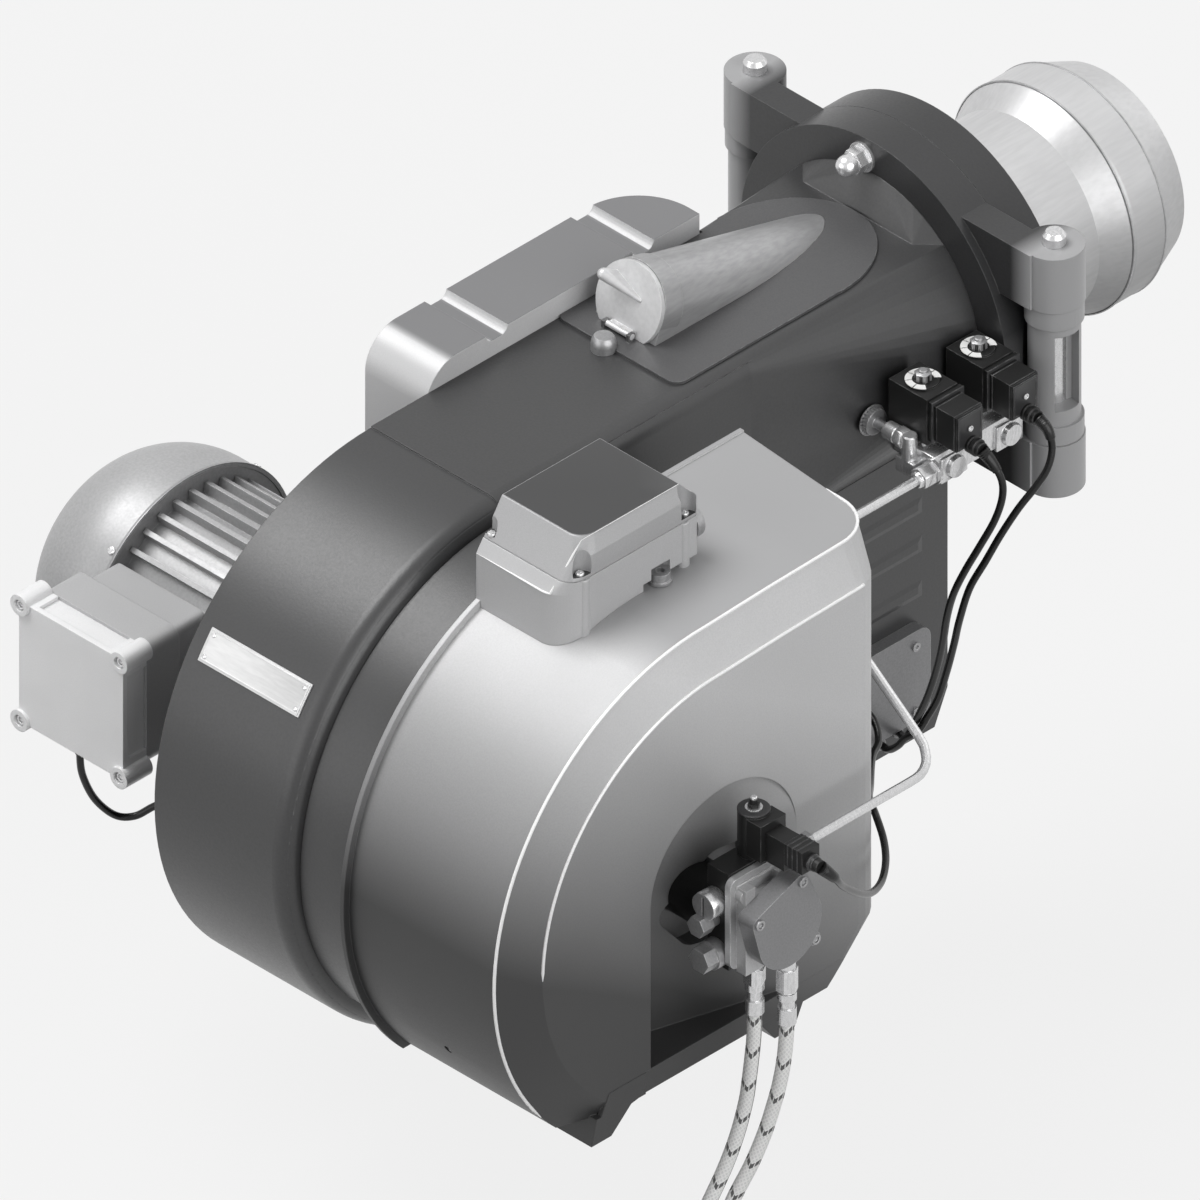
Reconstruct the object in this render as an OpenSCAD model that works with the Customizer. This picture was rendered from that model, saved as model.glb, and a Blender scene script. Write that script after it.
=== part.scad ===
// Forced-draught oil burner for a boiler, with a hinged burner flange.
// The flame points along +Y, the fan shaft runs along X and Z is up.
// The origin is the centre of the flange face that seals on the boiler.

/* [Boiler flange] */
// Outer diameter of both flanges
flange_d = 340; // [320:2:380]
// Thickness of the fixed boiler flange
boiler_flange_t = 38; // [30:1:50]
// Thickness of the swinging burner flange
swing_flange_t = 41; // [34:1:52]
// Outer diameter of the neck where it meets the burner flange
neck_d = 272; // [250:2:290]
// Bore of the air way through the burner flange
duct_d = 236; // [216:2:240]
// Bolt circle of the flange nuts
bolt_pcd = 298; // [294:1:312]
// Turn of the bolt pattern from the top
bolt_turn = 5; // [0:1:12]

/* [Hinges] */
// Distance of each hinge pin from the burner axis
hinge_x = 191.3; // [190:0.1:200]
// Diameter of the hinge pins
pin_d = 22; // [16:1:24]
// Outer diameter of the swinging hinge bosses
boss_d = 57; // [52:1:62]
// Outer diameter of the fixed knuckle
knuckle_d = 49; // [44:1:50]
// Height of the collar face above the burner axis
knuckle_top = 75; // [72:1:80]
// Height of the upper boss
boss_h = 60; // [50:1:66]
// Height of a pin head above its boss
pin_head = 13; // [8:1:18]

/* [Flame tube] */
// Diameter of the flame tube at the flange
tube_d = 200; // [180:2:206]
// Length of the straight root of the tube
tube_root = 110; // [80:2:140]
// Largest diameter of the tube
tube_belly_d = 232; // [222:1:260]
// Distance from the flange to the start of the belly
belly_y = 138.5; // [134:0.5:160]
// Distance from the flange to the end of the belly
belly_end_y = 179; // [164:1:200]
// Length of the flame tube beyond the flange
tube_l = 218.5; // [206:0.5:260]
// Wall of the flame tube
tube_wall = 3; // [2:0.5:4]
// Number of slots in the baffle disc
baffle_slots = 12; // [8:1:16]

/* [Fan housing] */
// Outer radius of the scroll
scroll_r = 277; // [270:1:285]
// Position of the scroll centre along the burner axis
scroll_y = -646; // [-654:1:-640]
// Height of the scroll centre
scroll_z = -176.6; // [-180:0.1:-172]
// Left face of the scroll
scroll_x0 = -75.3; // [-77:0.1:-74]
// Right face of the scroll
scroll_x1 = 95.2; // [95:0.1:97]
// Round of the right edge of the scroll
scroll_round = 20.5; // [10:0.5:30]
// Height of the flat top of the neck
neck_top = 102; // [100:0.5:108]
// Wall of the castings
cast_wall = 6; // [4:0.5:8]

/* [Air inlet] */
// Radius of the rim at the back of the air inlet cowl
rim_r = 276; // [272:1:282]
// Depth of the rim
rim_t = 5; // [4:1:10]
// Radius of the cowl skin
cowl_r = 269; // [264:1:271]
// Back plane of the cowl
cowl_x0 = 160.6; // [158:0.1:164]
// Start of the front chamfer
cowl_x1 = 351; // [344:1:358]
// Front face of the cowl
cowl_x2 = 371; // [366:1:380]
// Radius of the front face
face_r = 227; // [215:1:240]
// Wall of the cowl
cowl_wall = 4; // [3:0.5:5]
// Lower edge of the cowl
cowl_bottom = -367; // [-380:1:-360]

/* [Fan and motor] */
// Height of the shaft centre
shaft_z = -202; // [-204:1:-200]
// Diameter of the fan wheel
wheel_d = 420; // [360:5:430]
// Width of the fan wheel
wheel_w = 112; // [80:2:120]
// Number of fan blades
wheel_blades = 28; // [16:2:36]
// Radius of the motor cowl
motor_cowl_r = 131.5; // [128:0.5:136]
// Outer radius over the motor ribs
motor_rib_r = 119; // [116:1:126]
// Number of cooling ribs round the motor
motor_ribs = 36; // [24:2:48]
// Plane between the motor body and its cowl
motor_split_x = -306; // [-312:1:-304]
// Closed end of the motor cowl
motor_end_x = -433; // [-440:1:-430]
// Side of the motor terminal box
terminal_w = 133; // [125:1:140]
// Face of the terminal box lid
terminal_face_y = -860; // [-862:1:-856]

/* [Pump] */
// Height of the pump cover centre
pump_z = -190.6; // [-192:0.2:-189]
// Front of the pump cover
pump_face_x = 458; // [452:1:464]
// Radius of the round pump cover
pump_cover_r = 40; // [36:1:41]
// Diameter of the oil pipe
pipe_d = 9; // [6:1:10]
// Diameter of the oil hoses
hose_d = 14; // [12:0.2:14]
// Diameter of the cables
cable_d = 7; // [5:0.5:8]

/* [Cylinder of the sight tube] */
// Radius of the sight tube
sight_r = 38; // [34:1:40]
// Height of the sight tube top at the front
sight_top = 166; // [156:1:170]

/* [Hidden] */
$fn = 48;
gap = 0.3;
// Radial clearance of a running fit
run = 0.08;

flange_r = flange_d / 2;
pin_r = pin_d / 2;
boss_r = boss_d / 2;
hinge_y = -boiler_flange_t - 1;
ring_y0 = -boiler_flange_t - swing_flange_t;
ring_y1 = -boiler_flange_t - gap;
shaft_y = scroll_y;
ear_z1 = knuckle_top + boss_h;
low_ear_z1 = -knuckle_top + 3;
low_ear_z0 = low_ear_z1 - boss_h + 4;
tube_r = tube_d / 2;
belly_r = tube_belly_d / 2;

// ---------- helpers ----------
// A 2-D outline in (Y, Z), drawn out along X
module alongx(x0, x1) translate([x0, 0, 0]) rotate([90, 0, 90]) linear_extrude(x1 - x0) children();
// A 2-D outline in (X, Z), drawn out along Y
module alongy(y0, y1) translate([0, y1, 0]) rotate([90, 0, 0]) linear_extrude(y1 - y0) children();
module cylx(r, x0, x1, y = 0, z = 0, fn = 64) translate([x0, y, z]) rotate([0, 90, 0]) cylinder(r = r, h = x1 - x0, $fn = fn);
module cyly(r, y0, y1, x = 0, z = 0, fn = 64) translate([x, y0, z]) rotate([-90, 0, 0]) cylinder(r = r, h = y1 - y0, $fn = fn);
module cylz(r, z0, z1, x = 0, y = 0, fn = 64) translate([x, y, z0]) cylinder(r = r, h = z1 - z0, $fn = fn);
module box(a, b) translate(a) cube([b[0] - a[0], b[1] - a[1], b[2] - a[2]]);
module hexx(r, x0, x1, y, z) translate([x0, y, z]) rotate([0, 90, 0]) cylinder(r = r, h = x1 - x0, $fn = 6);
module hexy(r, y0, y1, x, z) translate([x, y0, z]) rotate([-90, 0, 0]) cylinder(r = r, h = y1 - y0, $fn = 6);
module hexz(r, z0, z1, x, y) translate([x, y, z0]) cylinder(r = r, h = z1 - z0, $fn = 6);
// A rectangle with round corners, centred
module round_rect(w, h, r) {
    square([w - 2 * r, h], center = true);
    square([w, h - 2 * r], center = true);
    for (i = [-1, 1], j = [-1, 1]) translate([i * (w / 2 - r), j * (h / 2 - r)]) circle(r, $fn = 32);
}
// A socket-head screw whose head seats at the origin and points along +Z
module socket_screw(r, h) difference() {
    cylinder(r = r, h = h, $fn = 32);
    translate([0, 0, h * 0.4]) cylinder(r = r * 0.5, h = h, $fn = 6);
}

// ---------- swept cables and hoses ----------
function unit(v) = v / norm(v);
function cat(p, i) = let (n = len(p)) i <= 0 ? unit(p[1] - p[0]) : i >= n - 1 ? unit(p[n - 1] - p[n - 2]) : unit(p[i + 1] - p[i - 1]);
// A smooth curve through the route points, with s steps for each span
function smooth_at(p, i, t) = let (n = len(p), a = p[max(i - 1, 0)], b = p[i], c = p[i + 1], d = p[min(i + 2, n - 1)])
    0.5 * (2 * b + (c - a) * t + (2 * a - 5 * b + 4 * c - d) * t * t + (3 * b - a - 3 * c + d) * t * t * t);
function smooth(p, s) = concat([for (i = [0 : len(p) - 2], k = [0 : s - 1]) smooth_at(p, i, k / s)], [p[len(p) - 1]]);
// Side vectors carried along the route so that the tube does not twist
function carry(p, i, prev) = let (t = cat(p, i), s = prev - (prev * t) * t) unit(s);
function sides_from(p, i, prev) = i >= len(p) ? [] : let (s = carry(p, i, prev)) concat([s], sides_from(p, i + 1, s));
module sweep(route, r, s = 2, n = 8) {
    p = smooth(route, s);
    t0 = cat(p, 0);
    first = unit(abs(t0[2]) < 0.9 ? cross(t0, [0, 0, 1]) : cross(t0, [1, 0, 0]));
    side = sides_from(p, 0, first);
    m = len(p);
    points = [for (i = [0 : m - 1], k = [0 : n - 1])
        let (t = cat(p, i), u = side[i], v = cross(t, u), a = 360 * k / n) p[i] + r * (cos(a) * u + sin(a) * v)];
    faces = concat([[for (k = [0 : n - 1]) k]], [[for (k = [0 : n - 1]) m * n - 1 - k]],
        [for (i = [0 : m - 2], k = [0 : n - 1]) let (a = i * n + k, b = i * n + (k + 1) % n) [a, a + n, b + n, b]]);
    polyhedron(points, faces, convexity = 6);
}

// ---------- boiler side ----------
// the fourth bolt stands lower, clear of the valve coils
bolt_steps = [0, 90, 180, 230];
module bolt_places(r) for (a = bolt_steps) rotate([0, -bolt_turn - a, 0]) translate([0, 0, r]) children();
// spot faces for the nuts
module nut_room() bolt_places(bolt_pcd / 2) translate([0, ring_y0 - 34, 0]) rotate([-90, 0, 0]) cylinder(r = 15 + gap, h = 35, $fn = 48);

module knuckle(side) {
    x = side * hinge_x;
    difference() {
        union() {
            cylz(knuckle_d / 2, -knuckle_top + 3 + gap, knuckle_top - gap, x, hinge_y);
            for (z = [knuckle_top - 20, -knuckle_top + 3 + gap]) cylz(knuckle_d / 2 + 3, z, z + 20 - gap, x, hinge_y);
            box([min(side * 120, x), -boiler_flange_t, -knuckle_top + 26], [max(side * 120, x), -10, knuckle_top - 20]);
        }
        cylz(pin_r + run, -knuckle_top - 5, knuckle_top + 5, x, hinge_y);
        // tall window that shows the pin
        translate([x, hinge_y, 5]) rotate([0, 0, side > 0 ? -12 : -168]) translate([pin_r - 2, -13, -41]) cube([30, 26, 82]);
    }
}

module boiler_flange() color([0.36, 0.36, 0.37]) {
    difference() {
        union() {
            cyly(flange_r, -boiler_flange_t, 0, fn = 128);
            for (s = [-1, 1]) knuckle(s);
        }
        cyly(tube_r + gap, -boiler_flange_t - 1, 1, fn = 96);
        cyly(tube_r + 18 + gap, -boiler_flange_t - 1, -boiler_flange_t + 8, fn = 96);
        bolt_places(bolt_pcd / 2) translate([0, -boiler_flange_t - 1, 0]) rotate([-90, 0, 0]) cylinder(r = 6, h = 25, $fn = 24);
        for (i = [0 : 3]) rotate([0, 45 + 90 * i, 0]) translate([0, -boiler_flange_t - 1, flange_r - 22]) rotate([-90, 0, 0]) cylinder(r = 7, h = boiler_flange_t + 2, $fn = 24);
    }
}

module flame_tube() color([0.66, 0.66, 0.67]) rotate([-90, 0, 0]) rotate_extrude($fn = 96) polygon([
    [tube_r - tube_wall, -boiler_flange_t], [tube_r + 18, -boiler_flange_t], [tube_r + 18, -boiler_flange_t + 8 - gap], [tube_r, -boiler_flange_t + 8 - gap],
    [tube_r, tube_root], [belly_r - 0.5, belly_y], [belly_r, belly_y + 4], [belly_r, belly_end_y], [tube_r, tube_l],
    [tube_r - tube_wall, tube_l], [belly_r - tube_wall, belly_end_y - 1], [belly_r - tube_wall, belly_y + 4], [tube_r - tube_wall, tube_root + 1]]);

baffle_y = tube_l - 62;
stock_r = 11;
module baffle_disc() color([0.6, 0.58, 0.55]) difference() {
    cyly(74, baffle_y, baffle_y + 3, fn = 96);
    cyly(stock_r + 9, baffle_y - 1, baffle_y + 4, fn = 48);
    for (i = [0 : baffle_slots - 1]) rotate([0, 360 / baffle_slots * i, 0]) translate([30, baffle_y - 1, -2]) cube([34, 5, 4]);
}

module nozzle_assembly() color([0.7, 0.66, 0.5]) {
    difference() {
        cyly(stock_r, -boiler_flange_t + 2, baffle_y - 26, fn = 32);
        cyly(4, -boiler_flange_t, baffle_y - 40, fn = 24);
    }
    hexy(stock_r + 2.5, baffle_y - 26, baffle_y - 10, 0, 0);
    translate([0, baffle_y - 10, 0]) rotate([-90, 0, 0]) cylinder(r1 = stock_r - 1, r2 = 4, h = 10, $fn = 32);
    // support star that centres the stock in the tube
    difference() {
        for (i = [0 : 2]) rotate([0, 90 + 120 * i, 0]) box([stock_r - 2, 40, -2], [tube_r - tube_wall - gap, 62, 2]);
        cyly(stock_r - 1, 30, 70);
    }
    // clamp for the electrodes
    difference() {
        box([-18, 74, stock_r - 2], [18, 88, electrode_z + 9]);
        for (s = [-1, 1]) cyly(6 + run, 70, 90, x = s * 9.5, z = electrode_z, fn = 32);
    }
    // the ring and stays that carry the baffle disc
    for (i = [0 : 2]) rotate([0, 90 + 120 * i, 0]) {
        box([24, 55, -2], [28, baffle_y - 0.3, 2]);
    }
}

electrode_z = 27;
module ignition_electrodes() color([0.93, 0.92, 0.88]) for (s = [-1, 1]) {
    cyly(6, 0, baffle_y - 20, x = s * 9.5, z = electrode_z, fn = 32);
    cyly(1.5, baffle_y - 20, baffle_y - 6, x = s * 9.5, z = electrode_z, fn = 16);
    translate([s * 9.5, baffle_y - 6, electrode_z]) rotate([0, s > 0 ? -124 : 124, 0]) rotate([0, 0, 0]) cylinder(r = 1.5, h = 7, $fn = 16);
}

module pin(x, z0, z1) {
    cylz(pin_r, z0, z1 - 4, x, hinge_y, 48);
    translate([x, hinge_y, z1 - 4]) cylinder(r1 = pin_r, r2 = pin_r - 3, h = 4, $fn = 48);
}
module hinge_pin_right() color([0.7, 0.7, 0.7]) pin(hinge_x, low_ear_z0, ear_z1 + pin_head);
module hinge_pin_left() color([0.7, 0.7, 0.7]) pin(-hinge_x, knuckle_top + 0.2, ear_z1 + pin_head);

// ---------- swinging housing ----------
module ear(side, z0, z1) {
    x = side * hinge_x;
    cylz(boss_r, z0, z1, x, hinge_y, 64);
    box([min(side * 40, x), ring_y0 + 9, z0], [max(side * 40, x), ring_y1, z1]);
}

module hinge_ring() color([0.35, 0.35, 0.36]) difference() {
    union() {
        cyly(flange_r, ring_y0, ring_y1, fn = 128);
        intersection() {
            union() for (s = [-1, 1]) {
                ear(s, knuckle_top, ear_z1);
                ear(s, low_ear_z0, low_ear_z1);
            }
            union() {
                box([-400, ring_y0, -300], [400, ring_y1, 300]);
                for (s = [-1, 1]) cylz(boss_r, -300, 300, s * hinge_x, hinge_y);
            }
        }
    }
    cyly(duct_d / 2, ring_y0 - 1, ring_y1 + 1, fn = 96);
    // room for the fixed knuckles
    for (s = [-1, 1]) cylz(knuckle_d / 2 + 4, low_ear_z1 - 0.01, knuckle_top + 0.01, s * hinge_x, hinge_y, 64);
    for (s = [-1, 1]) cylz(pin_r + run, -300, 300, s * hinge_x, hinge_y, 48);
    bolt_places(bolt_pcd / 2) translate([0, ring_y0 - 1, 0]) rotate([-90, 0, 0]) cylinder(r = 7, h = swing_flange_t + 2, $fn = 24);
}

module flange_nuts() color([0.75, 0.75, 0.75]) bolt_places(bolt_pcd / 2) translate([0, ring_y0, 0]) rotate([90, 0, 0]) {
    cylinder(r = 15, h = 3, $fn = 48);
    translate([0, 0, 3]) cylinder(r = 12.6, h = 12, $fn = 6);
    translate([0, 0, 15]) cylinder(r = 10.5, h = 6, $fn = 32);
    translate([0, 0, 21]) intersection() {
        sphere(r = 10.5, $fn = 32);
        cylinder(r = 11, h = 11);
    }
    translate([0, 0, -swing_flange_t + 6]) cylinder(r = 5.5, h = swing_flange_t - 5, $fn = 24);
}

neck_y0 = -330;
// The outline of the neck in (X, Z) where it leaves the scroll
module neck_outline(g = 0) {
    x0 = scroll_x0 - g; x1 = scroll_x1 + g; z1 = neck_top + g; z0 = -100 - g; r = scroll_round;
    translate([x0, z0]) square([x1 - x0 - r, z1 - z0]);
    translate([x0, z0]) square([x1 - x0, z1 - z0 - r]);
    translate([x1 - r, z1 - r]) circle(r, $fn = 48);
}
module neck_loft(g, y0, y1) hull() {
    alongy(y0, y0 + 1) neck_outline(g);
    alongy(y1 - 1, y1) intersection() {
        circle(neck_d / 2 + g, $fn = 64);
        translate([-300, -300]) square([600, 300 + neck_top + g]);
    }
}
module scroll_disc(r, x0, x1, round) translate([x0, scroll_y, scroll_z]) rotate([0, 90, 0]) rotate_extrude($fn = 128) {
    square([r - round, x1 - x0]);
    square([r, x1 - x0 - round]);
    translate([r - round, x1 - x0 - round]) intersection() {
        circle(round, $fn = 48);
        square(round + 1);
    }
}
module fan_housing() color([0.34, 0.34, 0.35]) difference() {
    union() {
        scroll_disc(scroll_r, scroll_x0, scroll_x1, scroll_round);
        alongy(scroll_y, neck_y0) neck_outline();
        neck_loft(0, neck_y0, ring_y0);
        // swell of the neck towards the burner flange
        hull() {
            alongy(ring_y0 - 0.6, ring_y0) intersection() {
                circle(neck_d / 2, $fn = 64);
                translate([-300, neck_top - 12]) square([600, 100]);
            }
            box([-70, ring_y0 - 20, neck_top - 12], [70, ring_y0 - 19, neck_top]);
        }
    }
    // the air way
    scroll_disc(scroll_r - cast_wall, scroll_x0 + cast_wall, scroll_x1 - cast_wall, 1);
    alongy(scroll_y, neck_y0 + 1) translate([scroll_x0 + cast_wall, -100 + cast_wall]) square([scroll_x1 - scroll_x0 - 2 * cast_wall, neck_top + 100 - 2 * cast_wall]);
    hull() {
        alongy(neck_y0, neck_y0 + 1) translate([scroll_x0 + cast_wall, -100 + cast_wall]) square([scroll_x1 - scroll_x0 - 2 * cast_wall, neck_top + 100 - 2 * cast_wall]);
        alongy(ring_y0 - 1, ring_y0 + 1) intersection() {
            circle(duct_d / 2, $fn = 64);
            translate([-300, -300]) square([600, 300 + neck_top - cast_wall]);
        }
    }
    // air inlet on the right and motor spigot on the left
    cylx(140, scroll_x1 - cast_wall - 1, scroll_x1 + 1, shaft_y, shaft_z, 96);
    cylx(70, scroll_x0 - 1, scroll_x0 + cast_wall + 1, shaft_y, shaft_z, 64);
    // opening under the sight tube
    box([sight_x - 16, -330, neck_top - 20], [sight_x + 16, -200, neck_top + 1]);
    nut_room();
}

console_z0 = -421;
console_top = -60;
module side_console() color([0.35, 0.35, 0.36]) difference() {
    union() {
        alongx(-70, scroll_x1) polygon([[-520, console_top], [ring_y0 - gap, console_top], [ring_y0 - gap, console_z0 + 37], [ring_y0 - 17, console_z0], [-520, console_z0]]);
        for (z = [-166, -209, -258]) hull() {
            box([scroll_x1 - 1, -400, z - 9], [scroll_x1, -112, z + 9]);
            box([scroll_x1 + 0.5, -396, z - 4], [scroll_x1 + 1.2, -118, z + 4]);
        }
    }
    cylx(scroll_r + gap, -100, scroll_x1 + 20, scroll_y, scroll_z, 128);
    box([-100, -640, -110 - gap], [120, neck_y0 + 0.5, 200]);
    neck_loft(gap, neck_y0 - 0.5, ring_y0 + 0.5);
    nut_room();
}

cover_x1 = scroll_x1 + 13.3;
gland_x = scroll_x1 + 8;
module console_cover() color([0.52, 0.52, 0.53]) {
    translate([0, -184, -340]) alongx(scroll_x1 + 0.1, cover_x1) round_rect(140, 100, 14);
    // cable glands below the cover and beside it
    for (p = [[-150, -396], [-172, -399], [-300, -234]]) cylx(6, scroll_x1 + 0.1, gland_x, p[0], p[1], 24);
}

module cowl_profile(r, top, back, low) {
    intersection() {
        translate([scroll_y, scroll_z]) circle(r, $fn = 128);
        translate([-2000, low]) square([2000 + scroll_y, 2000]);
    }
    polygon([[scroll_y - 0.5, low], [scroll_y - 0.5, scroll_z + r], [back - 60, top], [back, top], [back, low + 52], [back - 40, low]]);
}

module intake_ring() color([0.33, 0.33, 0.34]) difference() {
    alongx(scroll_x1, cowl_x0 + 4) cowl_profile(rim_r - 15, neck_top - 20, -496, cowl_bottom + 24);
    alongx(scroll_x1 + 5, cowl_x0 + 5) cowl_profile(rim_r - 20, neck_top - 25, -501, cowl_bottom + 29);
    cylx(140, scroll_x1 - 1, scroll_x1 + 6, shaft_y, shaft_z, 96);
}

back0 = -410;
cowl_top = 98;
face_top = 57;
// The plan of the boiler side of the cowl, with its round corner; g makes it smaller
module rear_plan(x0, xe, yc, r, g) polygon(concat([[x0, -510], [x0, back0 - g]],
    [for (a = [90 : -15 : 0]) [xe - r + (r - g) * cos(a), yc + (r - g) * sin(a)]], [[xe - g, -510]]));
module cowl_solid(g) {
    x0 = cowl_x0 + (g > 0 ? -1 : 0.01);
    low = cowl_bottom - (g > 0 ? 1 : 0);
    // round part
    intersection() {
        union() {
            cylx(cowl_r - g, x0, cowl_x1, scroll_y, scroll_z, 128);
            translate([cowl_x1, scroll_y, scroll_z]) rotate([0, 90, 0]) cylinder(r1 = cowl_r - g, r2 = face_r - g, h = cowl_x2 - cowl_x1 - g, $fn = 128);
        }
        box([0, -2000, low], [600, scroll_y + 1, 600]);
    }
    // flat-topped part towards the boiler
    hull() {
        alongy(scroll_y, scroll_y + 0.5) polygon([[x0, low], [x0, scroll_z + cowl_r - g], [cowl_x1, scroll_z + cowl_r - g], [cowl_x2 - g, scroll_z + face_r - g], [cowl_x2 - g, low]]);
        alongz(cowl_top - g - 0.5, cowl_top - g) rear_plan(x0, cowl_x1, -470, 48, g);
        alongz(-315, face_top - g) rear_plan(x0, cowl_x2, -469, 39, g);
        alongz(low, low + 0.5) polygon([[x0, -520], [x0, back0 - 40 - g], [cowl_x2 - 39, -470 - g], [cowl_x2 - g, -509], [cowl_x2 - g, -520]]);
    }
}

recess_r = 89.6;
recess_y = -638;
recess_z = -167;
face_low = -343;
// The scoop in the front face that the pump stands in; g makes it larger
module scoop(g) translate([cowl_x2, recess_y + recess_r + g, 0]) rotate([0, 0, -16]) {
    translate([-g, -recess_r - g, recess_z]) rotate([0, 90, 0]) cylinder(r = recess_r + g, h = 200, $fn = 96);
    translate([-g, -2 * (recess_r + g), face_low + 1 - g]) cube([200, 2 * (recess_r + g), recess_z - face_low - 1 + g]);
}
// The pocket in the floor of the scoop behind the pump
module pump_pocket(g) alongx(324 - g, 500) hull() for (p = [[-668, -222], [-625, -180], [-596, -176], [-596, -245], [-650, -245]]) translate(p) circle(16 + g, $fn = 32);
module intake_cowl() color([0.74, 0.74, 0.75]) difference() {
    union() {
        // skin
        difference() {
            cowl_solid(0);
            cowl_solid(cowl_wall);
        }
        // rim
        difference() {
            alongx(cowl_x0, cowl_x0 + rim_t) cowl_profile(rim_r, cowl_top + 2, back0, cowl_bottom);
            alongx(cowl_x0 - 1, cowl_x0 + rim_t + 1) cowl_profile(rim_r - 14.7, neck_top - 19.7, -495.7, cowl_bottom + 23.7);
        }
        // walls of the scoop and the seat of the pump
        intersection() {
            cowl_solid(0);
            union() {
                scoop(cowl_wall);
                pump_pocket(3);
                cylx(46, 312, 340, shaft_y, shaft_z, 64);
            }
        }
        // feet
        alongx(302, cowl_x2 + 0.5) polygon([[-811, -391], [-785.5, -391], [-768, -375], [-790, cowl_bottom + 3], [-804, cowl_bottom + 3]]);
        alongx(cowl_x2 - 5, cowl_x2 + 0.5) polygon([[-738, face_low], [-788, face_low], [-811, -391], [-785.5, -391], [-760, -368], [-747.5, -366], [-741, -354]]);
        alongx(302, cowl_x2 - 3) polygon([[-592, cowl_bottom + 1], [-573, -391], [-548, -391], [-536, cowl_bottom + 1]]);
    }
    scoop(0);
    pump_pocket(0);
    cylx(30, 300, 400, shaft_y, shaft_z, 48);
    // the lip under the front face stands back
    box([cowl_x2 - 1.8, -741, cowl_bottom - 1], [cowl_x2 + 1, -400, face_low]);
    // drive hole for the damper
    cyly(4 + run, -500, -400, x = damper_x, z = damper_z, fn = 32);
    cyly(4 + run, -900, -860, x = damper_x, z = damper_z, fn = 32);
}

module cover_screws() color([0.8, 0.8, 0.8]) {
    translate([272, -624, scroll_z + cowl_r + 1.5]) {
        cylinder(r = 11.3, h = 3, $fn = 48);
        translate([0, 0, 3]) socket_screw(9.7, 8);
    }
    translate([-12, -412, neck_top]) {
        cylinder(r = 11.8, h = 7, $fn = 48);
        translate([0, 0, 7]) intersection() {
            sphere(r = 11.8, $fn = 48);
            cylinder(r = 12, h = 8);
        }
    }
    for (y = [-134, -234], z = [-306, -378]) translate([cover_x1, y, z]) rotate([0, 90, 0]) socket_screw(4.5, 2.5);
}

// ---------- damper and its servo ----------
damper_x = 262;
damper_z = -300;
damper_y0 = -790;
damper_y1 = -470;
damper_w = 50;
module air_damper() color([0.6, 0.6, 0.62]) {
    // the shaft turns in the front and rear walls of the cowl
    cyly(4, -882, back0 - 1, x = damper_x, z = damper_z, fn = 32);
    box([damper_x - damper_w, damper_y0, damper_z - 1], [damper_x + damper_w, damper_y1, damper_z + 1]);
}

servo_x0 = 160.6;
servo_x1 = 273;
servo_y0 = -747.5;
servo_y1 = -577.5;
servo_z = 179;
servo_lid_z = 143;
servo_out_x = 258;
servo_out_z = 128;
module servo_solid() hull() {
    alongz(60, 130) {
        translate([servo_x1 - 30, servo_y0 + 30]) circle(30, $fn = 64);
        translate([servo_x0, servo_y0]) square([20, 40]);
        translate([servo_x0, servo_y0 + 40]) square([servo_x1 - servo_x0, servo_y1 - servo_y0 - 40]);
    }
    box([servo_x0, servo_y0 + 24, 165], [servo_x1, servo_y1, 166]);
    box([servo_x0, servo_y0 + 32.5, servo_z - 1], [servo_x1 - 10.5, servo_y1 - 12.5, servo_z]);
}
module servo_box() color([0.55, 0.55, 0.56]) difference() {
    servo_solid();
    box([100, -800, servo_lid_z], [400, -500, 300]);
    cylx(cowl_r + 0.2, cowl_x0 + rim_t, 400, scroll_y, scroll_z, 128);
    cylx(rim_r + 0.2, 100, cowl_x0 + rim_t + 0.2, scroll_y, scroll_z, 128);
    box([100, scroll_y, 0], [300, -500, cowl_top + 2.3]);
    // room for the cowl screw
    cylz(12, 80, 112, 272, -624);
    cyly(6 + run, servo_y1 - 16, servo_y1 + 1, x = servo_out_x, z = servo_out_z, fn = 32);
}
module servo_lid() color([0.6, 0.6, 0.61]) {
    difference() {
        servo_solid();
        box([100, -800, 0], [400, -500, servo_lid_z + 0.05]);
        // corner notches for the lid screws
        for (p = [[264, -721], [264, -590], [168, -741]]) cylz(11, servo_lid_z, 200, p[0], p[1], 32);
    }
    for (p = [[261, -719], [261, -592]]) cylz(5.5, servo_lid_z + 0.05, servo_lid_z + 6, p[0], p[1], 32);
}
module servo_shaft() color([0.5, 0.5, 0.5]) {
    cyly(17, servo_y1 + 0.2, servo_y1 + 8.8, x = servo_out_x, z = servo_out_z, fn = 64);
    cyly(6, servo_y1 - 15, servo_y1 + 1, x = servo_out_x, z = servo_out_z, fn = 32);
}

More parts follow.
